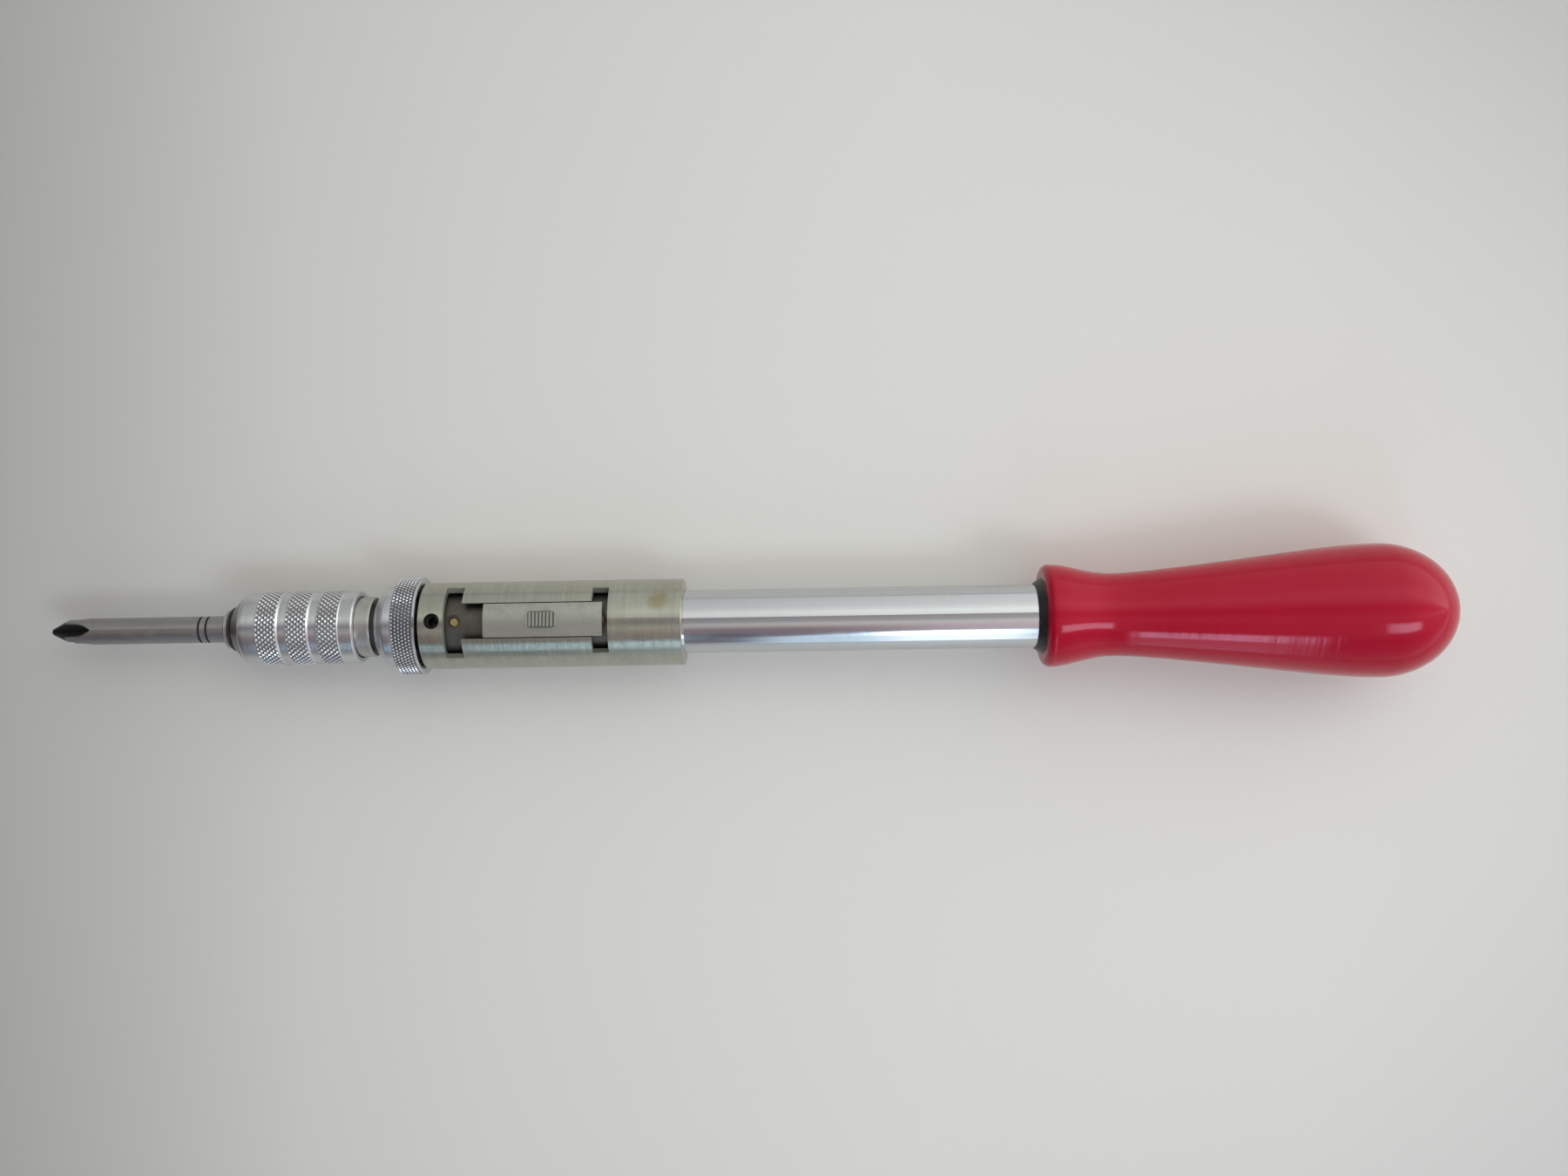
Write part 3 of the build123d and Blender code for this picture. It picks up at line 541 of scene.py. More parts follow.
BIT_STEEL = Metal(
    "bit_steel", (0.36, 0.35, 0.34), 0.34, Marks.DRAWN, contrast=0.35, grime=0.25, grime_scale=300.0,
    painted_shades=(
        # Painted shade: near black in the flutes of the tip.
        PaintedShade(-1.0, 12.0, 0.0, 3.15, (0.012, 0.012, 0.013), 0.45, metallic=0.3, soft=0.3),
        # Painted shade: dark in the ring grooves.
        PaintedShade(38.0, 44.0, 0.0, 3.36, (0.03, 0.03, 0.03), 0.5, metallic=0.3, soft=0.1),
    ),
)
CHUCK_STEEL = Metal(
    "chuck_steel", (0.50, 0.49, 0.46), 0.34, contrast=0.3, grime=0.3,
    painted_shades=(
        # Painted shade: dark on the chuck body inside the sleeve.
        PaintedShade(48.0, 83.0, 0.0, 7.0, (0.05, 0.045, 0.04), 0.5, strength=0.8),
        # Painted shadow: near black in the gap at the rear of the chuck body, before the lock ring.
        PaintedShade(86.3, 87.6, 0.0, 7.75, (0.03, 0.03, 0.028), 0.5, strength=0.9, soft=0.1),
    ),
)
SLEEVE_ALUMINIUM = Metal(
    "sleeve_aluminium", (0.66, 0.67, 0.68), 0.18, contrast=0.22, grime=0.18,
    painted_shades=(
        # Painted shade: dark in the valleys of the knurled bands.
        *(PaintedShade(front, rear, 0.0, 9.60, (0.16, 0.16, 0.15), 0.4, strength=0.75, soft=0.10)
          for front, rear in ((57.6, 62.7), (65.55, 70.65), (73.5, 78.6))),
        # Painted reflection: the front cone and its rounded shoulder darker, where they mirror the dark side
        # of the room.
        PaintedShade(49.0, 52.6, 0.0, 9.3, (0.26, 0.24, 0.23), 0.3, soft=0.5),
    ),
)
LOCK_ALUMINIUM = Metal(
    "lock_aluminium", (0.62, 0.63, 0.65), 0.16, contrast=0.22, grime=0.18,
    # Painted shade: dark in the valleys of the knurled band.
    painted_shades=(PaintedShade(93.5, 98.95, 0.0, 12.66, (0.12, 0.12, 0.12), 0.4, strength=0.72, soft=0.12),),
)
CASING_PLATING = Metal(
    "casing_plating", (0.42, 0.425, 0.36), 0.15, contrast=0.38, grime=0.3,
    grime_colour=(0.30, 0.28, 0.18), grime_scale=110.0,
    painted_shades=(
        # Painted shade: near black on the walls of the oil hole.
        PaintedShade(100.8, 105.8, 0.0, 11.2, (0.02, 0.02, 0.02), 0.5, metallic=0.2, soft=0.1),
        # Painted shade: darker on the walls of the slots.
        PaintedShade(105.8, 149.2, 0.0, 11.15, (0.24, 0.24, 0.20), 0.5, metallic=0.5, soft=0.1),
    ),
    stains=(Stain((161.5, 4.5, 10.4), 3.6, (0.30, 0.26, 0.13), 0.7),),
)
INNER_SLEEVE_STEEL = Metal("inner_sleeve_steel", (0.13, 0.125, 0.105), 0.45, contrast=0.3, grime=0.4,
                           grime_colour=(0.05, 0.045, 0.035))
# Painted shade: near black on the front bush, which lies under the oil hole.
BUSH_STEEL_PAINTED_SHADE = Metal("bush_steel_painted_shade", (0.045, 0.04, 0.035), 0.35, grime=0.5, grime_colour=(0.015, 0.012, 0.01))
PAWL_BRASS = Metal("pawl_brass", (0.46, 0.34, 0.16), 0.35, Marks.PLAIN, grime=0.4)
SHIFTER_PLATING = Metal(
    "shifter_plating", (0.41, 0.415, 0.365), 0.40, Marks.PLAIN, contrast=0.15,
    grime=0.35, grime_colour=(0.25, 0.23, 0.19), grime_scale=420.0,
    # Painted shade: dark between the ribs of the pad.
    painted_shades=(PaintedShade(128.3, 135.1, 11.3, 11.75, (0.10, 0.10, 0.09), 0.5, strength=0.85, soft=0.1),),
)
TUBE_CHROME = Metal("tube_chrome", (0.56, 0.57, 0.58), 0.09, Marks.TURNED, contrast=0.05,
                    relief=0.002, grime=0.08, grime_colour=(0.45, 0.44, 0.43))
SPINDLE_STEEL = Metal("spindle_steel", (0.42, 0.41, 0.39), 0.25, grime=0.3, grime_colour=(0.08, 0.06, 0.04))
INNER_STEEL = Metal("inner_steel", (0.40, 0.39, 0.37), 0.35)
NUT_BRONZE = Metal("nut_bronze", (0.55, 0.38, 0.20), 0.35)
SPRING_STEEL = Metal("spring_steel", (0.22, 0.22, 0.23), 0.35, Marks.PLAIN)
BLACK_RING = Black("black_ring")
COLLAR_BLACK = Black("collar_black", roughness=0.35)
HANDLE_LACQUER = Lacquer("handle_lacquer", (0.45, 0.004, 0.024), (0.37, 0.002, 0.014))


@dataclass
class TurnedPiece:
    """Piece turned from one closed outline, in place of a plain CAD piece.

    The outline's corners are (place along the axis, radius) pairs in millimetres.
    """

    name: str
    node: str
    body: str
    outline: tuple[tuple[float, float], ...]
    turns: int = 144
    crease: float = 25.0

    def build(self, finish: bpy.types.Material) -> bpy.types.Object:
        """Spin the outline round the axis.

        Args:
            finish: Its material.

        Returns:
            The new piece.
        """
        bpy.ops.object.select_all(action="DESELECT")
        bpy.ops.mesh.primitive_circle_add(vertices=len(self.outline), radius=MM)
        piece = bpy.context.object
        piece.name = self.name
        for vertex, (x, radius) in zip(piece.data.vertices, self.outline):
            vertex.co = (x * MM, 0.0, radius * MM)
        bpy.ops.object.mode_set(mode="EDIT")
        bpy.ops.mesh.select_all(action="SELECT")
        bpy.ops.mesh.spin(steps=self.turns, angle=2 * math.pi, center=(0, 0, 0), axis=(1, 0, 0))
        bpy.ops.mesh.select_all(action="SELECT")
        bpy.ops.mesh.remove_doubles(threshold=1e-7)
        bpy.ops.mesh.delete_loose()
        bpy.ops.mesh.select_all(action="SELECT")
        bpy.ops.mesh.normals_make_consistent(inside=False)
        bpy.ops.object.mode_set(mode="OBJECT")
        bpy.ops.object.shade_smooth_by_angle(angle=math.radians(self.crease))
        piece.data.materials.append(finish)
        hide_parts(self.node)
        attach(piece, self.body)
        return piece


@dataclass
class Coil:
    """Spring that takes the place of its CAD piece."""

    name: str
    node: str

    def build(self, finish: bpy.types.Material) -> bpy.types.Object:
        """Copy the CAD spring and merge its corners.

        Args:
            finish: Its material.

        Returns:
            The new piece.
        """
        bpy.ops.object.select_all(action="DESELECT")
        piece = bpy.data.objects.new(self.name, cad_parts[self.node].data.copy())
        bpy.context.scene.collection.objects.link(piece)
        bpy.context.view_layer.objects.active = piece
        piece.select_set(True)
        bpy.ops.object.mode_set(mode="EDIT")
        bpy.ops.mesh.select_all(action="SELECT")
        bpy.ops.mesh.remove_doubles(threshold=1e-7)
        bpy.ops.object.mode_set(mode="OBJECT")
        bpy.ops.object.shade_smooth_by_angle(angle=math.radians(40))
        piece.data.materials.clear()
        piece.data.materials.append(finish)
        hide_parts(self.node)
        return piece


@dataclass
class KnurledPiece:
    """Turned piece with diamond knurling on its raised bands, in place of a plain CAD piece.

    The outline is a closed loop of (place along the axis, radius) corners in millimetres, and the
    spans that are knurled are given by their front and rear ends. A larger point value gives the
    diamonds wider flat tops.
    """

    name: str
    node: str
    body: str
    outline: tuple[tuple[float, float], ...]
    bands: tuple[tuple[float, float], ...]
    round_count: int
    repeat: float
    depth: float
    point: float = 1.35
    steps: int = 8
    pocket: Optional[tuple[float, float, float, float, float, float]] = None

    def stations(self) -> list[tuple[float, float, bool]]:
        """Corners of the outline with the rows of the knurled spans between them.

        Returns:
            Place along the axis, radius, and whether the row is knurled.
        """
        rows = []
        for (x0, r0), (x1, r1) in zip(self.outline, self.outline[1:] + self.outline[:1]):
            band = next((b for b in self.bands if abs(b[0] - x0) < 1e-6 and abs(b[1] - x1) < 1e-6), None)
            if band is None:
                rows.append((x0, r0, False))
                continue
            count = round((x1 - x0) / self.repeat * self.steps)
            rows += [(x0 + i * self.repeat / self.steps, r0, True) for i in range(count)]
            rows.append((x1 - 1e-3, r0, True))
        return rows

    def crest(self, x: np.ndarray, angle: np.ndarray) -> np.ndarray:
        """Height of the knurling from 0 in the crossed grooves to 1 on the points.

        Args:
            x: Places along the axis, in millimetres.
            angle: Angles round the axis, in radians.

        Returns:
            The heights.
        """
        along = x / self.repeat
        around = angle * self.round_count / (2 * math.pi)
        ridges = [np.abs(2 * np.mod(along + sign * around, 1.0) - 1) for sign in (1, -1)]
        return np.minimum(1.0, self.point * np.minimum(*ridges))

    def pocket_radius(self, x: np.ndarray, angle: np.ndarray, radius: np.ndarray) -> np.ndarray:
        """Sink the ball's cam pocket into the bore.

        Args:
            x: Places along the axis, in millimetres.
            angle: Angles round the axis from +Z towards +Y, in radians.
            radius: Radii of the plain piece, in millimetres.

        Returns:
            The radii with the pocket.
        """
        front, rear, lead, turn, top, travel = self.pocket
        turned = np.where(angle > math.pi, angle - 2 * math.pi, angle)
        inside = (x > front - 1e-6) & (x < rear + 1e-6) & (turned >= -math.radians(lead) - 1e-6)
        inside &= (turned <= math.radians(turn) + 1e-6) & (radius < top)
        height = top - travel * np.clip(turned / math.radians(turn), 0, 1)
        return np.where(inside, height, radius)

    def build(self, finish: bpy.types.Material) -> bpy.types.Object:
        """Build the piece as a closed grid of rows and columns round the axis.

        Args:
            finish: Its material.

        Returns:
            The new piece.
        """
        rows = self.stations()
        columns = self.round_count * self.steps
        bpy.ops.object.select_all(action="DESELECT")
        bpy.ops.mesh.primitive_grid_add(x_subdivisions=len(rows), y_subdivisions=columns, size=2)
        piece = bpy.context.object
        piece.name = self.name
        place = np.empty(len(piece.data.vertices) * 3)
        piece.data.vertices.foreach_get("co", place)
        place = place.reshape(-1, 3)
        row = np.rint((place[:, 0] + 1) / 2 * len(rows)).astype(int) % len(rows)
        column = np.rint((place[:, 1] + 1) / 2 * columns).astype(int) % columns
        table = np.array([(x, r, float(k)) for x, r, k in rows])
        x, radius, knurled = table[row, 0], table[row, 1], table[row, 2]
        angle = column * 2 * math.pi / columns
        radius = radius - self.depth * knurled * (1 - self.crest(x - self.bands[0][0], angle))
        if self.pocket:
            radius = self.pocket_radius(x, angle, radius)
        place = np.stack((x, radius * np.sin(angle), radius * np.cos(angle)), axis=1) * MM
        piece.data.vertices.foreach_set("co", place.ravel())
        bpy.ops.object.mode_set(mode="EDIT")
        bpy.ops.mesh.select_all(action="SELECT")
        bpy.ops.mesh.remove_doubles(threshold=1e-7)
        bpy.ops.mesh.normals_make_consistent(inside=False)
        bpy.ops.object.mode_set(mode="OBJECT")
        bpy.ops.object.shade_smooth_by_angle(angle=math.radians(18))
        piece.data.materials.append(finish)
        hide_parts(self.node)
        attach(piece, self.body)
        return piece


def arc(start: tuple[float, float], middle: tuple[float, float], end: tuple[float, float],
        count: int) -> list[tuple[float, float]]:
    """Points of the circle through three points, without the last one.

    Args:
        start: First point.
        middle: Point on the way.
        end: Last point.
        count: Number of equal steps.

    Returns:
        The points from the first to the one before the last.
    """
    (ax, ay), (bx, by), (cx, cy) = start, middle, end
    d = 2 * (ax * (by - cy) + bx * (cy - ay) + cx * (ay - by))
    a2, b2, c2 = ax * ax + ay * ay, bx * bx + by * by, cx * cx + cy * cy
    centre = Vector(((a2 * (by - cy) + b2 * (cy - ay) + c2 * (ay - by)) / d,
                     (a2 * (cx - bx) + b2 * (ax - cx) + c2 * (bx - ax)) / d))
    first, last = Vector(start) - centre, Vector(end) - centre
    angle = math.atan2(first.x * last.y - first.y * last.x, first.dot(last))
    points = []
    for step in range(count):
        turn = angle * step / count
        spot = centre + Matrix.Rotation(turn, 2) @ first
        points.append((spot.x, spot.y))
    return points


def turned_nose(front: float, front_radius: float, length: float, radius: float,
                rounding: float) -> list[tuple[float, float]]:
    """Points of a cone, and of the rounded corner where it meets the full radius.

    Args:
        front: Place of the front face.
        front_radius: Radius of the front face.
        length: Length of the cone with a sharp corner.
        radius: Full radius.
        rounding: Radius of the rounded corner.

    Returns:
        The points, in millimetres.
    """
    slope = math.atan2(radius - front_radius, length)
    run = rounding * math.tan(slope / 2)
    corner = front + length
    start = (corner - run * math.cos(slope), radius - run * math.sin(slope))
    middle = (corner + run - rounding * math.sin(slope / 2),
              radius - rounding * (1 - math.cos(slope / 2)))
    end = (corner + run, radius)
    return [(front, front_radius), *arc(start, middle, end, 6), end]


def smooth_run(points: list[tuple[float, float]], steps: int) -> list[tuple[float, float]]:
    """Points of a smooth curve that is level at both ends.

    Args:
        points: Points that the curve goes through, from front to rear.
        steps: Number of equal steps along the axis.

    Returns:
        The points of the curve, with both ends.
    """
    x, y = np.array(points).T
    width, rise = np.diff(x), np.diff(y)
    count = len(x)
    left, right = np.eye(count), np.zeros(count)
    for i in range(1, count - 1):
        left[i, i - 1:i + 2] = width[i], 2 * (width[i - 1] + width[i]), width[i - 1]
        right[i] = 3 * (width[i] * rise[i - 1] / width[i - 1] + width[i - 1] * rise[i] / width[i])
    slope = np.linalg.solve(left, right)
    curve = []
    for place in np.linspace(x[0], x[-1], steps + 1):
        i = min(int(np.searchsorted(x, place, side="right")) - 1, count - 2)
        t = (place - x[i]) / width[i]
        bend = width[i] * (slope[i] * t * (1 - t) ** 2 - slope[i + 1] * t ** 2 * (1 - t))
        curve.append((float(place), float(y[i] + rise[i] * t * t * (3 - 2 * t) + bend)))
    return curve


@dataclass
class Chuck:
    """Bit, chuck body, sleeve, latch and their small pieces."""

    front: float = 49.6
    rear: float = 82.4
    nose: float = 6.0
    cone: float = 3.4
    rounding: float = 2.0
    radius: float = 9.45
    rise: float = 0.3
    dip: float = 0.15
    first_band: float = 57.6
    band_width: float = 5.1
    band_pitch: float = 7.95
    band_count: int = 3
    bore: float = 8.15
    land: tuple[float, float, float] = (61.0, 66.0, 5.8)
    pocket: tuple[float, float] = (51.6, 6.6)
    lip: float = 4.95
    travel: float = 4.5

    def outline(self) -> tuple[list, list]:
        """Closed outline of the sleeve and its knurled spans.

        Returns:
            Corners of the outline, and the front and rear of each knurled span.
        """
        r, up = self.radius, self.rise
        points = turned_nose(self.front, self.nose, self.cone, r, self.rounding)
        bands = []
        for band in range(self.band_count):
            start = self.first_band + band * self.band_pitch
            end = start + self.band_width
            if band == 0:
                points.append((start - up, r))
            points += [(start, r + up), (end, r + up)]
            bands.append((start, end))
            if band < self.band_count - 1:
                step = self.rise + self.dip
                points += [(end + step, r - self.dip), (start + self.band_pitch - step, r - self.dip)]
            else:
                points.append((end + up, r))
        land_front, land_rear, land_radius = self.land
        points += [
            (self.rear - up, r), (self.rear, r - up), (self.rear, self.bore), (land_rear, self.bore),
            (land_rear, land_radius), (land_front, land_radius), (land_front, self.pocket[1]),
            (self.pocket[0], self.pocket[1]), (self.pocket[0], self.lip), (self.front, self.lip),
        ]
        return points, bands

    def mesh(self) -> bpy.types.Object:
        """Build the knurled sleeve.

        Returns:
            The sleeve.
        """
        outline, bands = self.outline()
        sleeve = KnurledPiece("knurled_chuck_sleeve", "chuck_sleeve", "chuck_sleeve", tuple(outline),
                              tuple(bands), round_count=45, repeat=1.56, depth=0.30)
        return sleeve.build(SLEEVE_ALUMINIUM.build())

    def dress(self) -> None:
        """Finish the CAD pieces."""
        dress({
            "bit": BIT_STEEL, "nose_ring": BLACK_RING, "chuck_body": CHUCK_STEEL,
            "latch_ball": INNER_STEEL, "chuck_pin": INNER_STEEL,
        })

    def spring(self, finish: bpy.types.Material) -> None:
        """Build the sleeve's spring, which rides with the spindle.

        Args:
            finish: Its material.
        """
        piece = Coil("giving_chuck_spring", "chuck_spring").build(finish)
        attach(piece, "spindle")
        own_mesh(piece)


@dataclass
class LockRing:
    """Knurled ring that locks the closed tool, with its ball and clip."""

    front: float = 87.5
    rear: float = 99.35
    nose: float = 7.7
    cone: float = 2.95
    rounding: float = 0.8
    flange: float = 10.65
    band: tuple[float, float, float] = (93.7, 98.9, 12.8)
    bevel: float = 0.6
    bore: float = 8.05
    lip: tuple[float, float] = (88.8, 6.2)
    clip: tuple[float, float, float] = (96.9, 97.8, 8.45)
    pocket: tuple[float, float, float, float, float, float] = (91.8, 95.2, 15.0, 40.0, 9.05, 0.95)

    def mesh(self) -> bpy.types.Object:
        """Build the knurled ring.

        Returns:
            The ring.
        """
        points = turned_nose(self.front, self.nose, self.cone, self.flange, self.rounding)
        start, end, crest = self.band
        clip_front, clip_rear, clip_radius = self.clip
        pocket_front, pocket_rear = self.pocket[:2]
        points += [
            (start - 2 * self.bevel, self.flange), (start - self.bevel, crest - self.bevel),
            (start, crest), (end, crest),
            (self.rear - 0.1, crest - self.bevel), (self.rear, crest - self.bevel), (self.rear, self.bore),
            (clip_rear, self.bore), (clip_rear, clip_radius), (clip_front, clip_radius),
            (clip_front, self.bore), (pocket_rear + 0.01, self.bore), (pocket_rear, self.bore),
            (pocket_front, self.bore), (pocket_front - 0.01, self.bore), (self.lip[0], self.bore),
            self.lip, (self.front, self.lip[1]),
        ]
        ring = KnurledPiece("knurled_lock_ring", "lock_ring", "lock_ring", tuple(points), ((start, end),),
                            round_count=85, repeat=1.72, depth=0.40, pocket=self.pocket)
        return ring.build(LOCK_ALUMINIUM.build())

    def dress(self) -> None:
        """Finish the CAD pieces."""
        dress({"lock_ring_clip": SPRING_STEEL, "lock_ball": INNER_STEEL})


@dataclass
class Ratchet:
    """Casing with the shifter, pawls, nuts and the pieces that hold them."""

    def dress(self) -> None:
        """Finish the CAD pieces."""
        dress({
            "casing": CASING_PLATING, "front_bush": BUSH_STEEL_PAINTED_SHADE, "pawl_sleeve": INNER_SLEEVE_STEEL,
            "right_nut": NUT_BRONZE, "left_nut": NUT_BRONZE, "nut_spacer": INNER_STEEL,
            "thrust_washers": INNER_STEEL, "front_pawl": PAWL_BRASS, "rear_pawl": PAWL_BRASS,
            "shift_plate": SHIFTER_PLATING, "shifter_spring": SPRING_STEEL, "rear_bush": CASING_PLATING,
        })


@dataclass
class Drive:
    """Spindle with crossed grooves, its stop and the mainspring."""

    def dress(self) -> None:
        """Finish the CAD pieces."""
        dress({
            "spindle": SPINDLE_STEEL, "stop_collar": INNER_STEEL, "stop_pin": INNER_STEEL,
            "spring_follower": INNER_STEEL, "spring_seat": INNER_STEEL,
        })

    def spring(self, finish: bpy.types.Material) -> None:
        """Build the mainspring, which runs from its seat to the follower.

        Args:
            finish: Its material.
        """
        piece = Coil("giving_mainspring", "mainspring").build(finish)
        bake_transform(piece)


@dataclass
class Grip:
    """Chromed tube, black collar and turned handle."""

    front: float = 260.6
    rear: float = 367.5
    radius: float = 17.45
    bead: float = 0.768
    rim: float = 1.8
    neck: tuple[tuple[float, float], ...] = ((0.064, 0.731), (0.115, 0.657), (0.168, 0.621))
    swell: tuple[tuple[float, float], ...] = (
        (0.258, 0.652), (0.405, 0.747), (0.595, 0.888), (0.721, 0.972), (0.815, 1.0))
    bore: tuple[float, float] = (358.9, 8.28)

    def outline(self) -> list[tuple[float, float]]:
        """Closed outline of the handle, with the rim of its bead rounded over.

        Returns:
            Corners of the outline, in millimetres.
        """
        length = self.rear - self.front
        bead = self.bead * self.radius
        rim_end = (self.front + self.rim, bead)
        middle = self.rim * (1 - math.sqrt(0.5))
        points = arc((self.front, bead - self.rim), (self.front + middle, bead - middle), rim_end, 8)
        neck, swell = [[(self.front + a * length, b * self.radius) for a, b in shares]
                       for shares in (self.neck, self.swell)]
        points += smooth_run([rim_end, *neck], 24)[:-1] + smooth_run([neck[-1], *swell], 64)[:-1]
        start = swell[-1][0]
        for step in range(25):
            turn = math.radians(90 * step / 24)
            points.append((start + (self.rear - start) * math.sin(turn), self.radius * math.cos(turn)))
        return points + [(self.bore[0], 0.0), self.bore, (self.front, self.bore[1])]

    def mesh(self) -> bpy.types.Object:
        """Build the turned handle.

        Returns:
            The handle.
        """
        handle = TurnedPiece("turned_handle", "handle", "housing", tuple(self.outline()))
        return handle.build(HANDLE_LACQUER.build())

    def dress(self) -> None:
        """Finish the CAD pieces."""
        dress({"body_tube": TUBE_CHROME, "handle_collar": COLLAR_BLACK})


def dress(finishes: dict[str, Finish]) -> None:
    """Give CAD pieces their materials.

    Args:
        finishes: Name of each CAD node and its finish.
    """
    for node, finish in finishes.items():
        material = bpy.data.materials.get(finish.name)
        if material is None or "dressed" not in material:
            if material is not None:
                material.name = f"{finish.name}_plain"
            material = finish.build()
            material["dressed"] = True
        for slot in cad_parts[node].material_slots:
            slot.material = material


@dataclass
class Studio:
    """Table top, surroundings and camera of the photograph."""

    rest: tuple[float, float] = (96.3, 12.8)
    tilt: float = 0.01836
    rolled: float = 7.5
    camera_height: float = 364.0
    camera_over: tuple[float, float] = (193.55, 8.4)
    camera_roll: float = 0.98
    lens: float = 30.6
    reach: float = 4.0
    tint: Colour = (0.875, 0.86, 0.81)
    falloff: tuple[float, float, float] = (-0.08, -0.28, 0.75)

    def ways(self) -> tuple[Vector, Vector, Vector]:
        """Directions of the table: the tool lies on its lock ring and its handle, rolled a little.

        Returns:
            Unit vectors along the tool, across it, and up from the table.
        """
        side = math.sqrt(1 - self.tilt ** 2)
        rolled = math.radians(self.rolled)
        up = Vector((self.tilt, -side * math.sin(rolled), side * math.cos(rolled)))
        along = (Vector((1.0, 0.0, 0.0)) - up * up.x).normalized()
        return along, up.cross(along), up

    def on_table(self, x: float, y: float) -> Vector:
        """Point of the table top.

        Args:
            x: Place along the axis, in metres.
            y: Place across the axis, in metres.

        Returns:
            The point.
        """
        front, down = self.rest
        across, up = self.ways()[1:]
        level = (front * up.x - down * math.sqrt(1 - up.x ** 2)) * MM
        point = Vector((x, 0.0, 0.0)) + across * y
        return point + up * (level - up.dot(point))

    def table(self) -> None:
        """Lay the table top, pale, with painted shade that makes it a little darker towards the left and the
        corners.
        """
        bpy.ops.object.select_all(action="DESELECT")
        bpy.ops.mesh.primitive_plane_add(size=2)
        top = bpy.context.object
        top.name = "table_top"
        for vertex in top.data.vertices:
            vertex.co = self.on_table(vertex.co.x * self.reach, vertex.co.y * self.reach)
        material = bpy.data.materials.new("table_paper")
        material.use_nodes = True
        tree = Tree(material.node_tree)
        place = tree.add("TexCoord").outputs["Object"]
        parts = tree.add("SeparateXYZ", {0: place}).outputs
        side = tree.maths("MULTIPLY_ADD", parts["X"], 1 / 0.429, 0.022 / 0.429, clamp=True)
        # Painted shade: the table darker towards the left.
        shades = ((0.0, 0.555), (0.083, 0.645), (0.194, 0.785), (0.305, 0.84), (0.5, 0.89), (0.72, 0.93),
                  (0.833, 0.94), (1.0, 0.90))
        red, green, blue = self.tint
        colour = tree.ramp(side, [(place, (red * v, green * v, blue * v)) for place, v in shades])
        # Painted shade: the table darker away from a point right of the middle, most in the right-hand
        # corners.
        offset = tree.maths("DIVIDE", tree.maths("SUBTRACT", parts["X"], 0.23), 0.24)
        across = tree.maths("DIVIDE", parts["Y"], 0.19)
        spread = tree.maths("MULTIPLY_ADD", offset, offset, tree.maths("MULTIPLY", across, across))
        corner = tree.maths("MULTIPLY", tree.maths("MAXIMUM", offset, 0.0),
                            tree.maths("MULTIPLY", across, across))
        all_round, right_corners, least = self.falloff
        falloff = tree.maths("MULTIPLY_ADD", spread, all_round, 1.0, clamp=True)
        falloff = tree.maths("MULTIPLY_ADD", corner, right_corners, falloff, clamp=True)
        falloff = tree.maths("MAXIMUM", falloff, least)
        colour = tree.add("HueSaturation", {"Value": falloff, "Color": colour}).outputs[0]
        fibres = tree.group("grime", {"Vector": place, "Scale": 900.0, "Low": 0.3, "High": 0.8})
        bump = tree.add("Bump", {"Strength": 0.3, "Distance": 0.05 * MM, "Height": fibres["Mask"]})
        surface = tree.add("BsdfPrincipled", {"Base Color": colour, "Roughness": 0.4,
                                              "Specular IOR Level": 0.5, "Normal": bump.outputs[0]})
        tree.add("OutputMaterial", {"Surface": surface.outputs[0]})
        top.data.materials.append(material)

    def surroundings(self) -> None:
        """Light the room: a ceiling, windows low on the near side, and a lamp to the right.

        A place in the room is given by its angle round the tool, from straight up towards the far
        side, and by how far it lies to the right.
        """
        world = bpy.data.worlds.new("room")
        bpy.context.scene.world = world
        world.use_nodes = True
        tree = Tree(world.node_tree)
        way = tree.add("SeparateXYZ", {0: tree.add("TexCoord").outputs["Generated"]}).outputs
        side = way["X"]
        angle = tree.maths("ADD", tree.maths("ARCTAN2", way["Y"], way["Z"]), math.radians(self.rolled))
        angle = tree.maths("MULTIPLY", angle, math.degrees(1.0))
        share = tree.maths("MULTIPLY_ADD", angle, 1 / 360, 0.5)
        stops = [
            (-90, (0.53, 0.55, 0.58)), (-72, (0.34, 0.34, 0.38)), (-54, (0.28, 0.25, 0.29)),
            (-36, (0.33, 0.25, 0.29)), (-28, (0.40, 0.31, 0.33)), (-17, (0.68, 0.61, 0.60)),
            (-11, (0.70, 0.69, 0.68)), (-4, (0.50, 0.48, 0.49)), (5, (0.41, 0.37, 0.39)),
            (11, (0.60, 0.58, 0.60)), (18, (0.90, 0.92, 0.90)), (26, (1.13, 1.16, 1.12)),
            (31, (1.15, 1.17, 1.14)), (38, (1.03, 1.04, 1.02)), (52, (0.87, 0.88, 0.87)),
            (90, (0.75, 0.77, 0.77)),
        ]
        room = tree.ramp(share, [((place / 360) + 0.5, colour) for place, colour in stops])
        gain = tree.maths("MAXIMUM", tree.maths("MULTIPLY_ADD", side, 1.1, 1.0), 0.4)
        room = tree.mix(1.0, room, gain, "MULTIPLY")
        glow = self.lit(tree, angle, (-46, -16, 10), side, (0.07, 1.0, 0.1))
        room = tree.mix(tree.maths("MULTIPLY", glow, 0.7), room, (0.92, 0.78, 0.82))
        wall = self.lit(tree, angle, (-52, -20, 8), side, (-0.265, -0.11, 0.03))
        room = tree.mix(tree.maths("MULTIPLY", wall, 0.8), room, (0.50, 0.50, 0.48))
        left = self.lit(tree, angle, (-72, -50, 4), side, (-0.245, -0.12, 0.03))
        room = tree.mix(left, room, (1.1, 1.5, 1.9))
        post = self.lit(tree, angle, (-84, -46, 6), side, (-0.105, -0.032, 0.02))
        room = tree.mix(tree.maths("MULTIPLY", post, 0.85), room, (0.15, 0.15, 0.19))
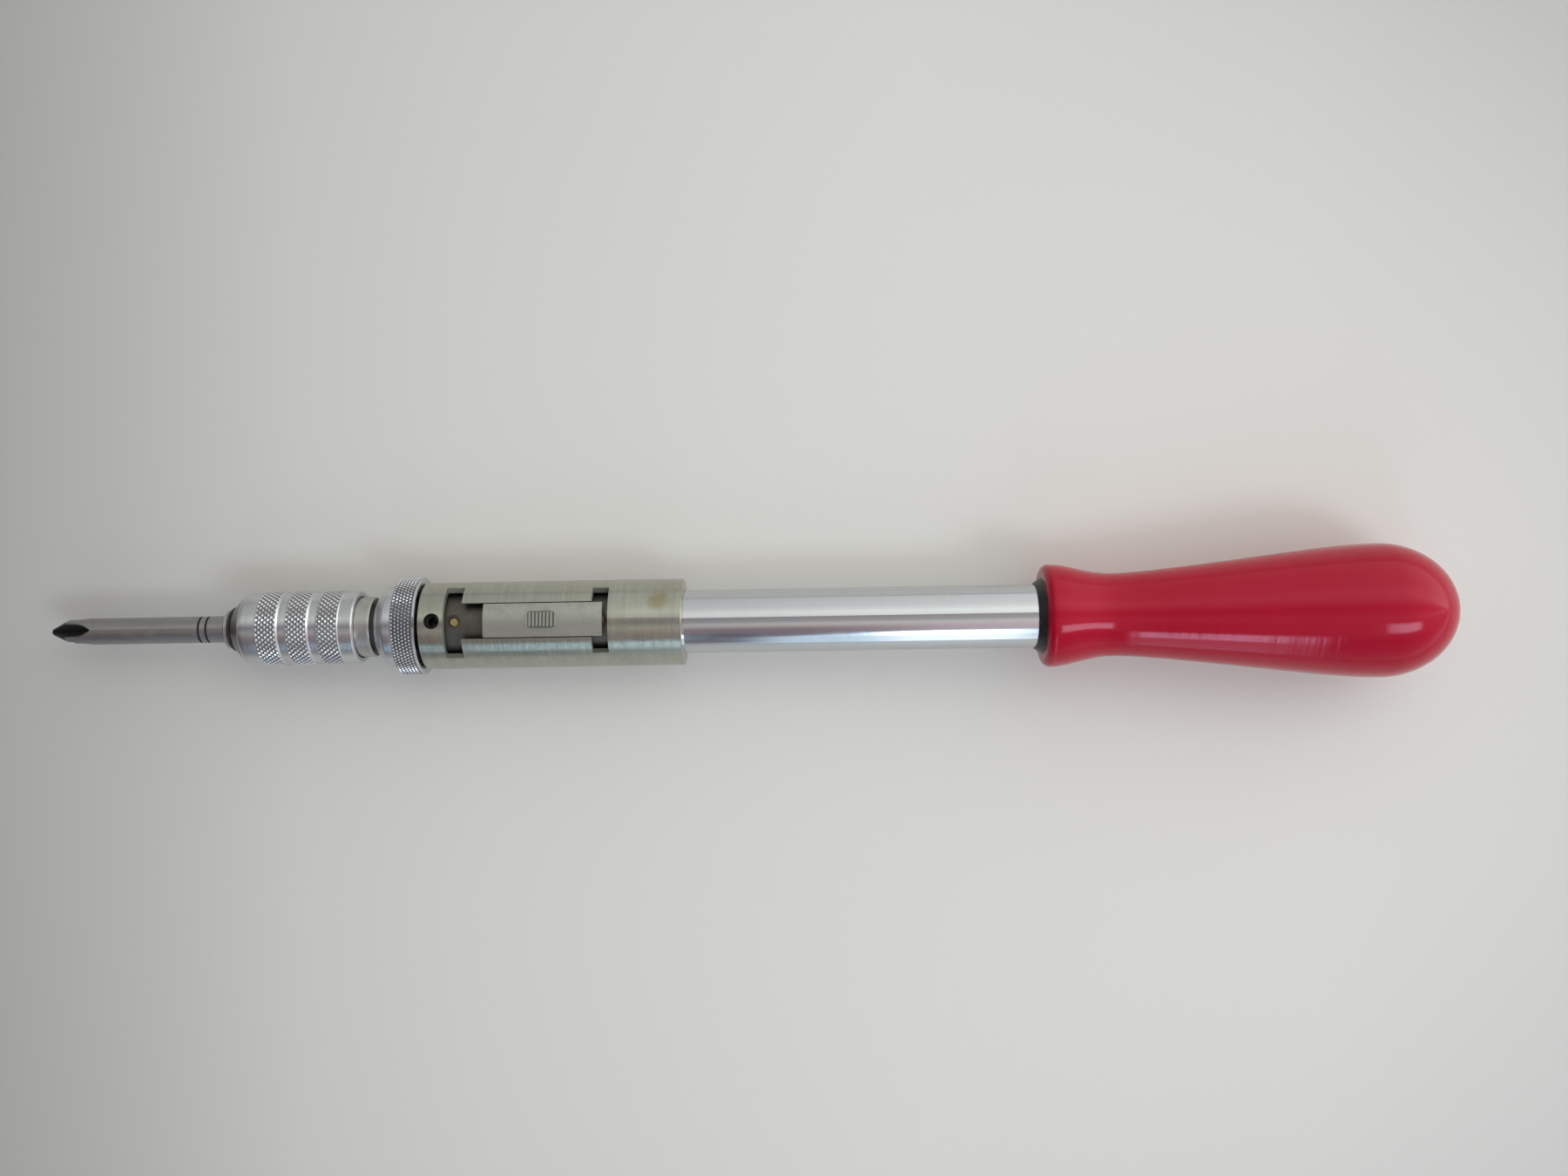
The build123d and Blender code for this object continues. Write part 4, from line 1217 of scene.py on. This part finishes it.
        edge = tree.maths("MINIMUM", tree.maths("MULTIPLY_ADD", side, 146.0, -58.0), -45.0)
        sheen = self.lit(tree, angle, (-100, edge, 3), side, (-0.035, 0.17, 0.03))
        strong = tree.spread(side, 0.03, 0.09)
        room = tree.mix(sheen, room, tree.mix(strong, (0.85, 1.05, 1.25), (1.7, 1.95, 2.2)))
        bright = self.lit(tree, angle, (-63, -48, 3), side, (0.075, 0.125, 0.04))
        room = tree.mix(bright, room, (6.5, 8.5, 10.5))
        lamp = self.lit(tree, angle, (-38, -22, 4), side, (0.33, 0.68, 0.06))
        room = tree.mix(lamp, room, (5.5, 6.5, 7.0))
        light = tree.add("Background", {"Color": room, "Strength": 1.0})
        tree.add("OutputWorld", {"Surface": light.outputs[0]})

    @staticmethod
    def lit(tree: Tree, angle: Value, height: tuple, side: Value, width: tuple) -> bpy.types.NodeSocket:
        """Mask of a lit part of the room.

        Args:
            tree: Tree of the world.
            angle: Angle round the tool.
            height: Lowest and highest angle, and the softness of these edges.
            side: How far to the right.
            width: Left and right edge, and their softness.

        Returns:
            The mask.
        """
        masks = [tree.group("zone", {"Value": value, "Low": low, "High": high, "Soft": soft})["Mask"]
                 for value, (low, high, soft) in ((angle, height), (side, width))]
        return tree.maths("MULTIPLY", *masks)

    def camera(self) -> None:
        """Set the camera square to the table, over the middle of the tool."""
        along, across, up = self.ways()
        x, y = self.camera_over
        foot = self.on_table(x * MM, y * MM)
        roll = math.radians(self.camera_roll)
        right = along * math.cos(roll) - across * math.sin(roll)
        top = up.cross(right)
        data = bpy.data.cameras.new("camera")
        data.lens = self.lens
        data.sensor_width = 36.0
        data.clip_end = 20.0
        data.clip_start = 0.01
        camera = bpy.data.objects.new("camera", data)
        turn = Matrix((right, top, up)).transposed().to_4x4()
        camera.matrix_world = Matrix.Translation(foot + up * self.camera_height * MM) @ turn
        bpy.context.scene.collection.objects.link(camera)
        bpy.context.scene.camera = camera


def main() -> None:
    """Build and dress the tool from its tip to its handle, then the studio round it."""
    logging.basicConfig(level=logging.INFO, format="%(name)s: %(message)s")
    chuck, lock_ring, drive, grip = Chuck(), LockRing(), Drive(), Grip()
    for part in (chuck, lock_ring, grip):
        piece = part.mesh()
        LOG.info("%s: %d faces", piece.name, len(piece.data.polygons))
    steel = SPRING_STEEL.build()
    for part in (chuck, drive):
        part.spring(steel)
    for part in (chuck, lock_ring, Ratchet(), drive, grip):
        part.dress()
        LOG.info("dressed %s", type(part).__name__)
    studio = Studio()
    studio.table()
    studio.surroundings()
    studio.camera()
    bpy.context.scene.view_settings.view_transform = "Standard"


if __name__ == "__main__":
    main()
